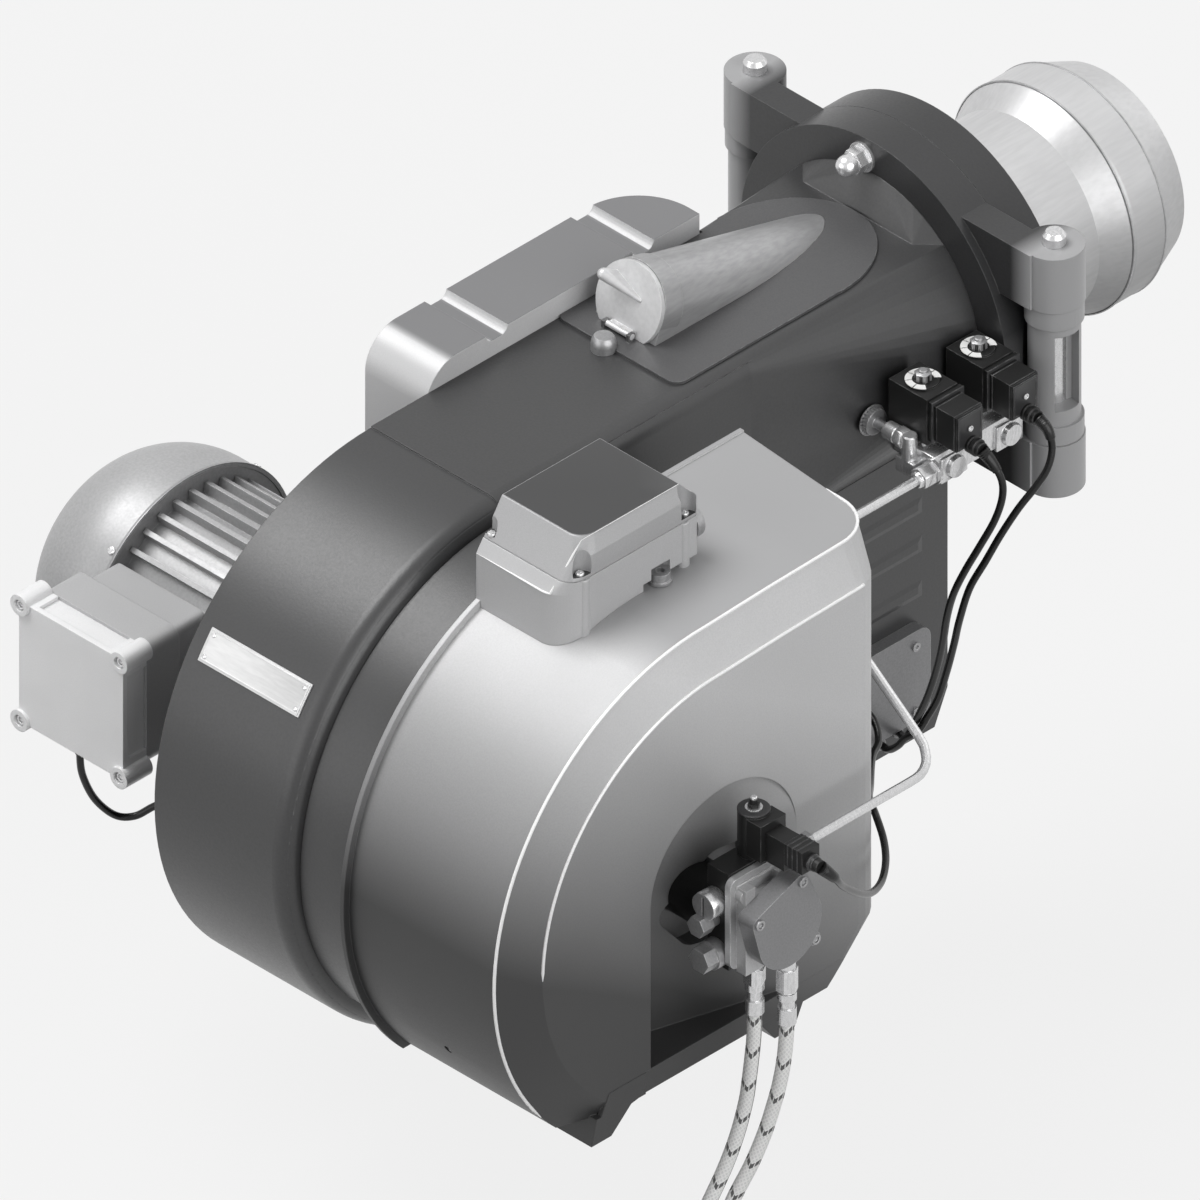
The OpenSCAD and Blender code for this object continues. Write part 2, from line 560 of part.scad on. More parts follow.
// ---------- sight glass group ----------
plate_t = 3;
module sight_plate() color([0.36, 0.36, 0.37]) difference() {
    union() {
        alongz(neck_top + 0.05, neck_top + plate_t) {
            translate([-79, -395]) square([157, 198]);
            translate([-66, -408.6]) square([131, 30]);
            for (x = [-66, 65]) translate([x, -395.6]) circle(13, $fn = 32);
            // tapered round end towards the flange
            polygon([[-79, -198], [78.5, -198], for (a = [0 : 7.5 : 180]) [-1.5 + 80 * cos(a), -197 + 96 * sin(a)]]);
        }
        // lugs for the hinge of the flap
        for (s = [-1, 1]) box([sight_x + min(s * 14.3, s * 18), flap_y - 4.2, neck_top + 1], [sight_x + max(s * 14.3, s * 18), flap_y + 3.3, flap_z + 3.3]);
    }
    cylx(3 + run, sight_x - 30, sight_x + 30, flap_y, flap_z, 32);
    box([sight_x - 16, -330, neck_top - 1], [sight_x + 16, -200, neck_top + 10]);
    // edge beside the control housing
    box([-90, -420, neck_top - 1], [scroll_x0 + 0.1, -222, neck_top + 10]);
    // room for the clamp screw
    cylz(12, neck_top - 1, neck_top + 10, -12, -412);
}
module alongz(z0, z1) translate([0, 0, z0]) linear_extrude(z1 - z0) children();

sight_x = -17;
// Axis of the flap's hinge
flap_y = -388.3;
flap_z = neck_top + 7.7;
sight_y0 = -358;
sight_tilt = -15.2;
module sight_tube() color([0.66, 0.66, 0.67]) difference() {
    translate([sight_x, sight_y0, sight_top - sight_r]) rotate([sight_tilt, 0, 0]) rotate([-90, 0, 0]) translate([0, 0, -60]) difference() {
        union() {
            cylinder(r = sight_r, h = 330, $fn = 64);
            translate([-sight_r, 0, 0]) cube([2 * sight_r, 60, 330]);
            // collar at the window end
            cylinder(r = sight_r + 2, h = 72, $fn = 64);
        }
        translate([0, 0, -1]) cylinder(r = sight_r - 6, h = 160, $fn = 48);
    }
    box([-200, -600, -100], [200, 0, neck_top + plate_t]);
    box([-200, -90, 0], [200, 0, 300]);
    // sloping front face
    translate([0, -380, neck_top]) rotate([-19, 0, 0]) box([-200, -200, -100], [200, 0, 200]);
}
module flap_disc() difference() {
    translate([0, -380, neck_top]) rotate([-19, 0, 0]) translate([0, -0.3, 0]) {
        translate([sight_x, 0, 30]) cyly(sight_r + 2, -5, 0, fn = 96);
        // finger grip
        hull() {
            translate([sight_x - 24, -20, 50]) sphere(r = 6, $fn = 32);
            translate([sight_x - 22, -4, 48]) sphere(r = 5, $fn = 32);
            translate([sight_x + 12, -5, 38]) sphere(r = 2, $fn = 16);
        }
    }
    box([-200, -600, 0], [200, 0, neck_top + plate_t + gap]);
}
// The flap with the barrel that it turns on
module sight_flap() color([0.75, 0.75, 0.76]) {
    flap_disc();
    cylx(3, sight_x - 18, sight_x + 18, flap_y, flap_z, 32);
    box([sight_x - 13, flap_y, flap_z - 2], [sight_x + 13, flap_y + 6.3, flap_z + 2]);
}

// ---------- control housing ----------
control_top = 127;
control_z0 = -70;
module control_housing() color([0.72, 0.72, 0.73]) difference() {
    union() {
        alongx(-154, scroll_x0 - 0.1) {
            translate([-536, control_z0]) square([310, control_top - control_z0]);
            translate([-575, control_z0]) square([349, control_top - control_z0 - 39]);
            translate([-536, control_top - 39]) circle(39, $fn = 64);
        }
    }
    for (y = [-485, -298]) hull() for (s = [-1, 1]) translate([-200, y + s * 5, control_top + 1]) rotate([0, 90, 0]) cylinder(r = 9, h = 200, $fn = 24);
    // round vertical corner at the boiler end
    difference() {
        box([-160, -291, control_z0 - 1], [-89, -220, control_top + 20]);
        cylz(65, control_z0 - 2, control_top + 21, -89, -291, 64);
    }
    neck_loft(0.1, neck_y0 - 0.5, ring_y0 + 0.5);
}

// ---------- motor ----------
module motor_body() color([0.7, 0.7, 0.71]) difference() {
    union() {
        cylx(motor_rib_r - 11, motor_split_x - 6, scroll_x0 - 14, shaft_y, shaft_z, 96);
        // end shield that the cowl sits on
        cylx(motor_cowl_r - 3 - gap, motor_split_x - 14, motor_split_x - 1, shaft_y, shaft_z, 96);
        for (i = [0 : motor_ribs - 1]) translate([0, shaft_y, shaft_z]) rotate([360 / motor_ribs * i, 0, 0])
            box([motor_split_x + 0.1, -2.6, 100], [scroll_x0 - 30, 2.6, motor_rib_r]);
        cylx(124, scroll_x0 - 14, scroll_x0 - 0.1, shaft_y, shaft_z, 96);
        cylx(69.5, scroll_x0 - 1, scroll_x0 + cast_wall, shaft_y, shaft_z, 64);
    }
    // bearing seats, shaft way and the seat of the terminal box
    cylx(12 + run, motor_split_x - 20, scroll_x0 + cast_wall + 1, shaft_y, shaft_z, 48);
    cylx(15, motor_split_x + 16, scroll_x0 - 20, shaft_y, shaft_z, 48);
    box([terminal_x - 58.3, -900, terminal_z - 58.3], [terminal_x + 58.3, -745, terminal_z + 58.3]);
}
module motor_cowl() color([0.72, 0.72, 0.73]) translate([0, shaft_y, shaft_z]) rotate([0, 90, 0]) difference() {
    translate([0, 0, motor_end_x]) rotate_extrude($fn = 96) {
        dome = 100;
        difference() {
            union() {
                translate([motor_cowl_r - dome, dome]) circle(dome, $fn = 96);
                square([motor_cowl_r - dome, dome * 2]);
                translate([0, dome]) square([motor_cowl_r, motor_split_x - motor_end_x - dome]);
            }
            translate([-300, -100]) square([300, 600]);
            translate([0, motor_split_x - motor_end_x]) square([300, 300]);
            // inside
            translate([motor_cowl_r - dome, dome]) circle(dome - 3, $fn = 96);
            translate([-1, 3]) square([motor_cowl_r - dome + 1, dome * 2]);
            translate([-1, dome]) square([motor_cowl_r - 3 + 1, 400]);
        }
    }
    // air slots in the closed end
    for (i = [0 : 11]) rotate([0, 0, 30 * i]) translate([22, -3, motor_end_x - 5]) cube([40, 6, 40]);
}

terminal_x = -245;
terminal_z = -169;
module terminal_box() color([0.6, 0.6, 0.61]) {
    translate([terminal_x, 0, terminal_z]) {
        alongy(terminal_face_y + 30 + 0.1, -788) round_rect(terminal_w, terminal_w, 12);
        alongy(-788.1, -745.3) round_rect(116, 116, 8);
        // cable gland under the box
        cylz(10, -terminal_w / 2 - 14, -terminal_w / 2 + 4, -29, -819.6, 24);
    }
}
module terminal_lid() color([0.78, 0.78, 0.79]) translate([terminal_x, 0, terminal_z]) difference() {
    union() {
        alongy(terminal_face_y, terminal_face_y + 30) round_rect(terminal_w, terminal_w, 8);
        for (i = [-1, 1], j = [-1, 1]) cyly(11, terminal_face_y - 3, terminal_face_y + 30, x = i * 63.7, z = j * 63.7, fn = 32);
    }
    for (i = [-1, 1], j = [-1, 1]) cyly(6, terminal_face_y - 4, terminal_face_y + 3, x = i * 63.7, z = j * 63.7, fn = 24);
    // waist between the corners
    for (i = [0 : 3]) rotate([0, 90 * i, 0]) box([-46, terminal_face_y + 6, terminal_w / 2 - 3.5], [46, terminal_face_y + 31, terminal_w / 2 + 5]);
}

module name_plate() color([0.82, 0.82, 0.82]) translate([0, scroll_y, scroll_z]) intersection() {
    difference() {
        cylx(scroll_r + 1.4, -60, 68, 0, 0, 128);
        cylx(scroll_r + 0.1, -61, 69, 0, 0, 128);
    }
    rotate([-35, 0, 0]) box([-60, -400, -16.5], [68, -100, 16.5]);
}

// ---------- pump ----------
module pump_mount() color([0.16, 0.16, 0.17]) difference() {
    union() {
        cylx(29.8, 312, 392, shaft_y, shaft_z, 48);
        box([392, -683, -236], [419, -600, -130]);
    }
    cylx(12.2 + run, 310, 412, shaft_y, shaft_z, 48);
}
module pump_body() color([0.66, 0.66, 0.67]) {
    difference() {
        union() {
            // base plate and the casting in front of it
            translate([0, -644.2, -181.8]) alongx(419.1, 426) round_rect(87.5, 98.5, 9);
            box([426, -680, -234], [438, -604, -141]);
        }
        box([428, -668, -152], [440, -636, -140]);
    }
    for (p = [[-674.7, -149.7], [-672.2, -224]]) difference() {
        cylx(8, 419.2, 434, p[0], p[1], 32);
        cylx(3.5, 431, 435, p[0], p[1], 6);
    }
}
module pump_cover() color([0.5, 0.5, 0.51]) difference() {
    union() {
        alongx(438.1, pump_face_x) hull() {
            translate([-643, pump_z]) circle(pump_cover_r, $fn = 96);
            translate([-682, -166]) circle(8.5, $fn = 32);
            translate([-628, -145]) circle(8.5, $fn = 32);
        }
        cylx(7, 438.1, 452, -606, -222, 32);
    }
    for (p = [[-683, -165.5], [-628, -145]]) cylx(3.5, pump_face_x - 4, pump_face_x + 1, p[0], p[1], 6);
}
module pump_fittings() color([0.7, 0.7, 0.71]) {
    // pressure regulator cap
    difference() {
        cyly(13.6, -701, -683.1, x = 404, z = -164, fn = 48);
        box([402.8, -702, -174], [405.2, -698, -154]);
    }
    // hex fitting
    hexy(11, -706.7, -692, 400, -185.5);
    cyly(8, -692, -683.1, x = 400, z = -185.5, fn = 32);
    // large blind cap lower left
    cyly(14.5, -694, -683.1, x = 404.4, z = -220.8, fn = 48);
    hexy(12.8, -707, -694, 404.4, -220.8);
    // pipe union on the boiler side
    cyly(8, -599.9, -586, x = 414, z = -147.3, fn = 32);
    hexy(9.5, -586, -575, 414, -147.3);
}
module pump_coil() color([0.1, 0.1, 0.1]) {
    cylz(15.1, -129.9, -83, 408, -640, 48);
    hexz(6, -83, -77, 408, -640);
    cylz(4, -77, -72, 408, -640, 24);
    box([413.5, -655, -124.5], [432, -623, -85]);
}
module pump_plug() color([0.08, 0.08, 0.08]) {
    box([432.1, -649, -124.4], [456, -629, -93.4]);
    box([456, -649.3, -117], [479, -627, -93]);
    cylx(6.5, 479, 492, -638, -107, 32);
}

// ---------- oil line ----------
pipe_route = [[414, -575, -147.3], [414, -530, -147.3], [414, -470, -147.3], [414, -446, -147.3], [413, -432, -146.8], [408, -420, -143.5], [399, -412, -137.5], [386, -407.7, -129.4],
    [340, -404, -100.5], [291, -400, -69.6], [262, -396, -54], [236, -384, -44], [214, -364, -39.5], [200, -342, -38.5], [194, -316, -38.5], [193.4, -280, -38.5], [193.4, -219, -38.5]];
module oil_pipe() color([0.72, 0.72, 0.73]) sweep(pipe_route, pipe_d / 2, 2, 12);

module valve_manifold() color([0.75, 0.75, 0.76]) {
    box([160, -196, -54], [194, -82, -24]);
    hexy(11, -219, -196, 193.4, -38.5);
    for (y = [-172, -101]) cylx(11, 194, 201, y, -42.4, 48);
    for (y = [-174, -103]) cylz(14, -24, -17.1, 160, y, 32);
    // arm to the needle valve
    box([150, -208, -46], [178, -194, -6]);
}
module valve_bracket() color([0.5, 0.5, 0.5]) difference() {
    union() {
        box([108, -170, -66], [160, -120, -54.1]);
        box([148, -170, -66], [159.9, -120, -40]);
    }
    neck_loft(gap, neck_y0, ring_y0);
}
module valve_coils() color([0.1, 0.1, 0.1]) for (y = [-174, -103]) {
    box([y > -150 ? 136.3 : 134, y - 19.5, -17], [183, y + 19.5, 33]);
    cylz(15, 33, 35, 158.5, y, 48);
    hexz(8, 35, 42, 158.5, y);
}
module valve_plugs() color([0.08, 0.08, 0.08]) for (y = [-174, -103]) {
    box([183.1, y - 18, -12], [188, y + 22, 31]);
    box([188, y - 16, -10], [217, y + 17, 28]);
    cylx(7, 217, 232, y + 2, -8, 24);
}
module valve_knob() color([0.5, 0.5, 0.5]) {
    cylx(5, 126, 149.9, -201, -16, 32);
    cylx(13, 119, 126, -201, -16, 32);
}

// ---------- hoses ----------
hose_xa = 414;
hose_ya = -645;
hose_xb = 430;
hose_yb = -619.5;
module hose_fittings() color([0.7, 0.7, 0.71]) {
    cylz(8, -256, -236.1, hose_xa, hose_ya, 32);
    hexz(10.5, -268, -252, hose_xa, hose_ya);
    cylz(9, -276, -268, hose_xa, hose_ya, 48);
    cylz(7, -290, -276, hose_xa, hose_ya, 32);
    cylz(8.8, -302, -287, hose_xa, hose_ya, 48);
    cylz(9.5, -246, -234.1, hose_xb, hose_yb, 48);
    cylz(8, -260, -246, hose_xb, hose_yb, 32);
    hexz(10.5, -282, -258, hose_xb, hose_yb);
    cylz(9, -292, -284, hose_xb, hose_yb, 48);
    cylz(7, -303, -282, hose_xb, hose_yb, 32);
    cylz(8.8, -318, -301, hose_xb, hose_yb, 48);
}
// The spare length of both hoses lies in one flat coil
coil_x = 305;
coil_y = -770;
coil_r = 75;
coil_pitch = 31;
function coil_at(z, a) = [coil_x + coil_r * cos(a), coil_y - coil_r * sin(a), z - coil_pitch * a / 360];
hose_a = concat([[hose_xa, hose_ya, -302.1], [413, -644.7, -329.6], [412, -646.5, -353.9], [410.5, -648.5, -378.5], [409, -650.7, -399.8], [405, -657.2, -434],
    [400, -667.5, -468], [394, -682, -502.4], [390, -705, -540], [384, -737, -568]], [for (a = [0 : 20 : 540]) coil_at(-578, a)]);
hose_b = concat([[hose_xb, hose_yb, -318.1], [430, -620.3, -333.3], [429.5, -622.6, -357.1], [428, -626, -380.5], [426, -630.6, -401.4], [421, -638.6, -435.3],
    [415, -650.5, -468.9], [407, -665.6, -504.1], [404, -685, -545], [396, -722, -580], [385, -752, -592]], [for (a = [0 : 20 : 500]) coil_at(-593.5, a)]);
module supply_hose() color([0.85, 0.85, 0.85]) sweep(hose_a, hose_d / 2, 1, 12);
module return_hose() color([0.85, 0.85, 0.85]) sweep(hose_b, hose_d / 2, 1, 12);
module hose_end(p, a) translate(p) rotate([0, 0, -a - 90]) rotate([0, 90, 0]) translate([0, 0, 0.2]) {
    cylinder(r = 7.6, h = 8, $fn = 32);
    translate([0, 0, 8]) cylinder(r = 8, h = 14, $fn = 6);
}
module hose_ends() color([0.7, 0.7, 0.71]) {
    hose_end(coil_at(-578, 540), 540);
    hose_end(coil_at(-593.5, 500), 500);
}
module hose_tie() color([0.1, 0.1, 0.1]) translate([coil_x, coil_y - coil_r, -609]) difference() {
    box([-2.5, -9.5, -33], [2.5, 9.5, 33]);
    box([-3, -7.2, -30.6], [3, 7.2, 30.6]);
}

// ---------- cables ----------
cable_r = cable_d / 2;
motor_cable_route = [[-274, -819.6, -249.6], [-274, -819.6, -276], [-274, -815.8, -300], [-270, -804.4, -329.2], [-262, -786.8, -351.7], [-250, -773.3, -353.5], [-236, -761.7, -341.2], [-220, -750, -332],
    [-190, -735, -327], [-150, -710, -332], [-115, -660, -352], [-98, -590, -350], [-92, -530, -310], [-92, -480, -240], [-98, -450, -160], [-108, -440, -110], [-114, -440, -70.2]];
module motor_cable() color([0.05, 0.05, 0.05]) sweep(motor_cable_route, cable_r, 1, 8);
valve_cable_a_route = [[232.2, -172, -8], [243, -167.6, -21.8], [249, -163.6, -38.2], [250, -164.6, -56.9], [246, -170.6, -80.6], [236, -180.5, -110.4], [226, -187.6, -136.5], [215, -191, -165.1],
    [204, -188.5, -196.6], [192, -182.3, -236.4], [179, -176.6, -273.7], [164, -173.3, -313.4], [148, -170.5, -347], [134, -166.9, -372.3], [122, -160, -388], [gland_x + 0.1, -150, -396]];
module valve_cable_a() color([0.05, 0.05, 0.05]) sweep(valve_cable_a_route, cable_r, 1, 8);
valve_cable_b_route = [[232.2, -101, -8], [243, -99, -16.6], [248, -98.4, -34.2], [249, -105, -52.7], [245, -115.3, -69.2], [237, -130.1, -90.5], [228, -144, -117.8], [219, -154.9, -146.5], [209, -165, -176.1],
    [198, -166.9, -215.7], [188, -163.6, -247.8], [176, -160.4, -284.6], [163, -159.2, -323.4], [154, -164.7, -346.9], [150, -172.5, -360.2], [140, -178, -370], [132, -179.6, -381.5], [119, -178.2, -393.1], [gland_x + 0.1, -172, -399]];
module valve_cable_b() color([0.05, 0.05, 0.05]) sweep(valve_cable_b_route, cable_r, 1, 8);
pump_cable_route = [[492.2, -638, -107], [496, -624, -124], [480, -597.5, -154.2], [455, -552.6, -196.6], [430, -511.8, -229.4], [405, -473.9, -248.5], [385, -448.3, -249], [365, -431.1, -242.9], [345, -421.1, -230.7],
    [318, -402, -236], [285, -368, -255], [250, -330.6, -260.4], [235, -307.3, -259.8], [215, -295.6, -250.9], [180, -293, -243], [140, -298, -236], [gland_x + 0.1, -300, -234]];
module pump_cable() color([0.05, 0.05, 0.05]) sweep(pump_cable_route, cable_r, 1, 8);

// ---------- rotor ----------
module motor_shaft() color([0.6, 0.6, 0.6]) {
    cylx(12, -400, 60, shaft_y, shaft_z, 32);
    cylx(9, 60, 330, shaft_y, shaft_z, 32);
    cylx(12.2, 330, 411, shaft_y, shaft_z, 32);
}
wheel_x0 = scroll_x0 + 20;
wheel_r = wheel_d / 2;
module fan_wheel() color([0.45, 0.45, 0.46]) translate([0, shaft_y, shaft_z]) {
    difference() {
        cylx(wheel_r, wheel_x0, wheel_x0 + 3, fn = 96);
        cylx(12.1, wheel_x0 - 1, wheel_x0 + 4, fn = 32);
    }
    difference() {
        cylx(26, wheel_x0 + 3, wheel_x0 + 40, fn = 48);
        cylx(12.1, wheel_x0 - 1, wheel_x0 + 41, fn = 32);
    }
    difference() {
        cylx(wheel_r, wheel_x0 + wheel_w - 3, wheel_x0 + wheel_w, fn = 96);
        cylx(wheel_r - 46, wheel_x0 + wheel_w - 4, wheel_x0 + wheel_w + 1, fn = 96);
    }
    for (i = [0 : wheel_blades - 1]) rotate([360 / wheel_blades * i, 0, 0]) translate([wheel_x0 + 2, 0, 0]) rotate([90, 0, 90])
        linear_extrude(wheel_w - 4) polygon([[wheel_r - 48, 0], [wheel_r - 30, 7], [wheel_r - 14, 17], [wheel_r - 3, 31], [wheel_r - 5, 32], [wheel_r - 16, 19], [wheel_r - 31, 9], [wheel_r - 48, 2]]);
}
module cooling_fan() color([0.15, 0.15, 0.15]) translate([0, shaft_y, shaft_z]) {
    difference() {
        cylx(30, -395, -350, fn = 48);
        cylx(12.1, -396, -340, fn = 32);
    }
    for (i = [0 : 7]) rotate([45 * i, 0, 0]) box([-393, -1.5, 28], [-352, 1.5, 102]);
}

boiler_flange();
flame_tube();
baffle_disc();
nozzle_assembly();
ignition_electrodes();
hinge_pin_right();
hinge_ring();
fan_housing();
side_console();
console_cover();
intake_ring();
intake_cowl();
cover_screws();
servo_box();
servo_lid();
servo_shaft();
sight_plate();
sight_tube();
sight_flap();
flange_nuts();
control_housing();
motor_body();
motor_cowl();
terminal_box();
terminal_lid();
name_plate();
pump_mount();
pump_body();
pump_cover();
pump_fittings();
pump_coil();
pump_plug();
oil_pipe();
valve_manifold();
valve_bracket();
valve_coils();
valve_plugs();
valve_knob();
hose_fittings();
supply_hose();
return_hose();
hose_ends();
hose_tie();
motor_cable();
valve_cable_a();
valve_cable_b();
pump_cable();
motor_shaft();
fan_wheel();
cooling_fan();
air_damper();
hinge_pin_left();
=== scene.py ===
"""Looks of a forced-draught oil burner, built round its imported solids.

Everything is in metres: +Y runs along the flame, +X along the fan shaft
towards the oil pump, and +Z is up. Sizes in the classes are millimetres, as
on a drawing, and become metres where a piece is made.
"""

import logging
import math
from collections.abc import Callable, Iterable, Sequence
from dataclasses import dataclass
from enum import Enum

import bpy
from mathutils import Matrix, Vector


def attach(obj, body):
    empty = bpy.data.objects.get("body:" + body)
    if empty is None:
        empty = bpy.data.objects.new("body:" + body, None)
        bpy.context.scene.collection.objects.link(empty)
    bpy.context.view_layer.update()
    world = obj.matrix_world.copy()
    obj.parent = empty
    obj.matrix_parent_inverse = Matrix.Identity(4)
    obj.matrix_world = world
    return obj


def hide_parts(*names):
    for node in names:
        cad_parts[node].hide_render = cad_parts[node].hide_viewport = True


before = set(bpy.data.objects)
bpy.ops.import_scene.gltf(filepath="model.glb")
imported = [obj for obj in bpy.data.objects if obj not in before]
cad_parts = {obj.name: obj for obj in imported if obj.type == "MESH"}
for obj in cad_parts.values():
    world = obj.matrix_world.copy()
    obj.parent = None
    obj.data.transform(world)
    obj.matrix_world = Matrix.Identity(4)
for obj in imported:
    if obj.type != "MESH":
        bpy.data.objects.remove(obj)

LOG = logging.getLogger("burner")
MM = 0.001
# Distance from the boiler flange to the fan shaft, mm
SHAFT_AHEAD = 646.0
Pair = tuple[float, float]
Triple = tuple[float, float, float]
Colour = tuple[float, float, float]
FaceTest = Callable[[Vector, Vector], bool]


class Axis(Enum):
    """The axis that a round piece is turned about."""

    X = "x"
    Y = "y"
    Z = "z"

    def turn(self) -> Matrix:
        """Gives the turn that lays the Z axis along this one."""
        if self is Axis.X:
            return Matrix.Rotation(math.pi / 2, 4, "Y")
        if self is Axis.Y:
            return Matrix.Rotation(-math.pi / 2, 4, "X")
        return Matrix.Identity(4)

    def point(self, along: float, u: float, v: float) -> Vector:
        """Gives a point in metres, in the order of the drawing.

        Args:
            along: Place along the axis, mm.
            u: First of the other two coordinates, mm.
            v: Second of the other two coordinates, mm.

        Returns:
            The point in metres.
        """
        if self is Axis.X:
            return Vector((along, u, v)) * MM
        if self is Axis.Y:
            return Vector((u, along, v)) * MM
        return Vector((u, v, along)) * MM


class Body(Enum):
    """The bodies that pieces ride on."""

    BASE = "base"
    HOUSING = "housing"


# Workbench


def shift(x: float, y: float, z: float) -> Matrix:
    """Gives the move to a place in millimetres."""
    return Matrix.Translation(Vector((x, y, z)) * MM)


def metres(points: Iterable[Triple]) -> list[Vector]:
    """Turns points in millimetres into points in metres."""
    return [Vector(point) * MM for point in points]


def closed(profile: Sequence[Pair]) -> list[Pair]:
    """Ends a profile where it starts, for a ring."""
    return [*profile, profile[0]]


def disc(radius: float, low: float, high: float) -> list[Pair]:
    """Gives the profile of a plain disc between two places on its axis."""
    return [(0, low), (radius, low), (radius, high), (0, high)]


def enter(name: str, data: bpy.types.ID) -> bpy.types.Object:
    """Puts a mesh, a lamp or a camera into the scene as an object."""
    obj = bpy.data.objects.new(name, data)
    bpy.context.scene.collection.objects.link(obj)
    return obj


def put_down() -> None:
    """Leaves edit mode and deselects everything."""
    if bpy.context.object is not None and bpy.context.object.mode != "OBJECT":
        bpy.ops.object.mode_set(mode="OBJECT")
    bpy.ops.object.select_all(action="DESELECT")


def take(obj: bpy.types.Object) -> bpy.types.Object:
    """Makes one object the only selected and the active one.

    Args:
        obj: The object to work on.

    Returns:
        The same object.
    """
    put_down()
    obj.select_set(True)
    bpy.context.view_layer.objects.active = obj
    return obj


def settle(obj: bpy.types.Object) -> bpy.types.Object:
    """Applies the object's place, turn and scale to its mesh.

    Args:
        obj: The object to settle.

    Returns:
        The same object, at the origin.
    """
    take(obj)
    bpy.ops.object.transform_apply(location=True, rotation=True, scale=True)
    return obj


def place(obj: bpy.types.Object, matrix: Matrix) -> bpy.types.Object:
    """Moves a settled piece by a matrix and settles it again.

    Args:
        obj: The piece.
        matrix: Where it goes.

    Returns:
        The same piece.
    """
    obj.matrix_world = matrix @ obj.matrix_world
    return settle(obj)


def copy_of(obj: bpy.types.Object) -> bpy.types.Object:
    """Copies a piece with a mesh of its own.

    Args:
        obj: The piece to copy.

    Returns:
        The copy.
    """
    twin = obj.copy()
    twin.data = obj.data.copy()
    bpy.context.scene.collection.objects.link(twin)
    return twin


def repeat(obj: bpy.types.Object, places: Sequence[Matrix]) -> list[bpy.types.Object]:
    """Puts copies of a piece modelled at the origin at each place.

    Args:
        obj: The piece, which is removed afterwards.
        places: One matrix for each copy.

    Returns:
        The copies.
    """
    made = [place(copy_of(obj), matrix) for matrix in places]
    bpy.data.objects.remove(obj, do_unlink=True)
    return made


def pick(obj: bpy.types.Object, test: FaceTest) -> None:
    """Enters edit mode with the faces selected that the test accepts.

    Args:
        obj: A settled piece.
        test: Takes a face's centre and normal.
    """
    take(obj)
    bpy.ops.object.mode_set(mode="EDIT")
    bpy.ops.mesh.select_mode(type="FACE")
    bpy.ops.mesh.select_all(action="DESELECT")
    bpy.ops.object.mode_set(mode="OBJECT")
    for face in obj.data.polygons:
        face.select = test(face.center, face.normal)
    bpy.ops.object.mode_set(mode="EDIT")


def sink(obj: bpy.types.Object, test: FaceTest, border: float, depth: float) -> None:
    """Insets the chosen faces and sinks what is inside the border.

    Args:
        obj: A settled piece.
        test: Chooses the faces.
        border: Width of the border that is left, mm.
        depth: How far the inside goes in, mm.
    """
    pick(obj, test)
    bpy.ops.mesh.inset(thickness=border * MM, depth=0.0, use_boundary=True)
    if depth:
        bpy.ops.mesh.inset(thickness=0.02 * MM, depth=-depth * MM)
    put_down()


def soften(obj: bpy.types.Object, width: float, segments: int = 2) -> bpy.types.Object:
    """Bevels the sharp edges of a piece.

    Args:
        obj: The piece.
        width: Width of the bevel, mm.
        segments: Segments across the bevel.

    Returns:
        The same piece.
    """
    take(obj)
    bevel = obj.modifiers.new("soft_edges", "BEVEL")
    bevel.width = width * MM
    bevel.segments = segments
    bevel.limit_method = "ANGLE"
    bevel.angle_limit = math.radians(35)
    bpy.ops.object.modifier_apply(modifier=bevel.name)
    return obj


def rod(
    axis: Axis, radius: float, span: Pair, at: Pair, sides: int = 32
) -> bpy.types.Object:
    """Adds a round or many-sided bar.

    Args:
        axis: The axis it lies along.
        radius: Its radius, mm.
        span: Its two ends along the axis, mm.
        at: Its other two coordinates, mm.
        sides: Number of sides.

    Returns:
        The bar, settled.
    """
    put_down()
    bpy.ops.mesh.primitive_cylinder_add(
        vertices=sides,
        radius=radius * MM,
        depth=(span[1] - span[0]) * MM,
        location=axis.point((span[0] + span[1]) / 2, *at),
        rotation=axis.turn().to_euler(),
    )
    return settle(bpy.context.object)


def block(low: Triple, high: Triple) -> bpy.types.Object:
    """Adds a rectangular blank between two corners.

    Args:
        low: Lowest corner, mm.
        high: Highest corner, mm.

    Returns:
        The blank, settled.
    """
    put_down()
    a, b = Vector(low) * MM, Vector(high) * MM
    bpy.ops.mesh.primitive_cube_add(size=1, location=(a + b) / 2, scale=b - a)
    return settle(bpy.context.object)


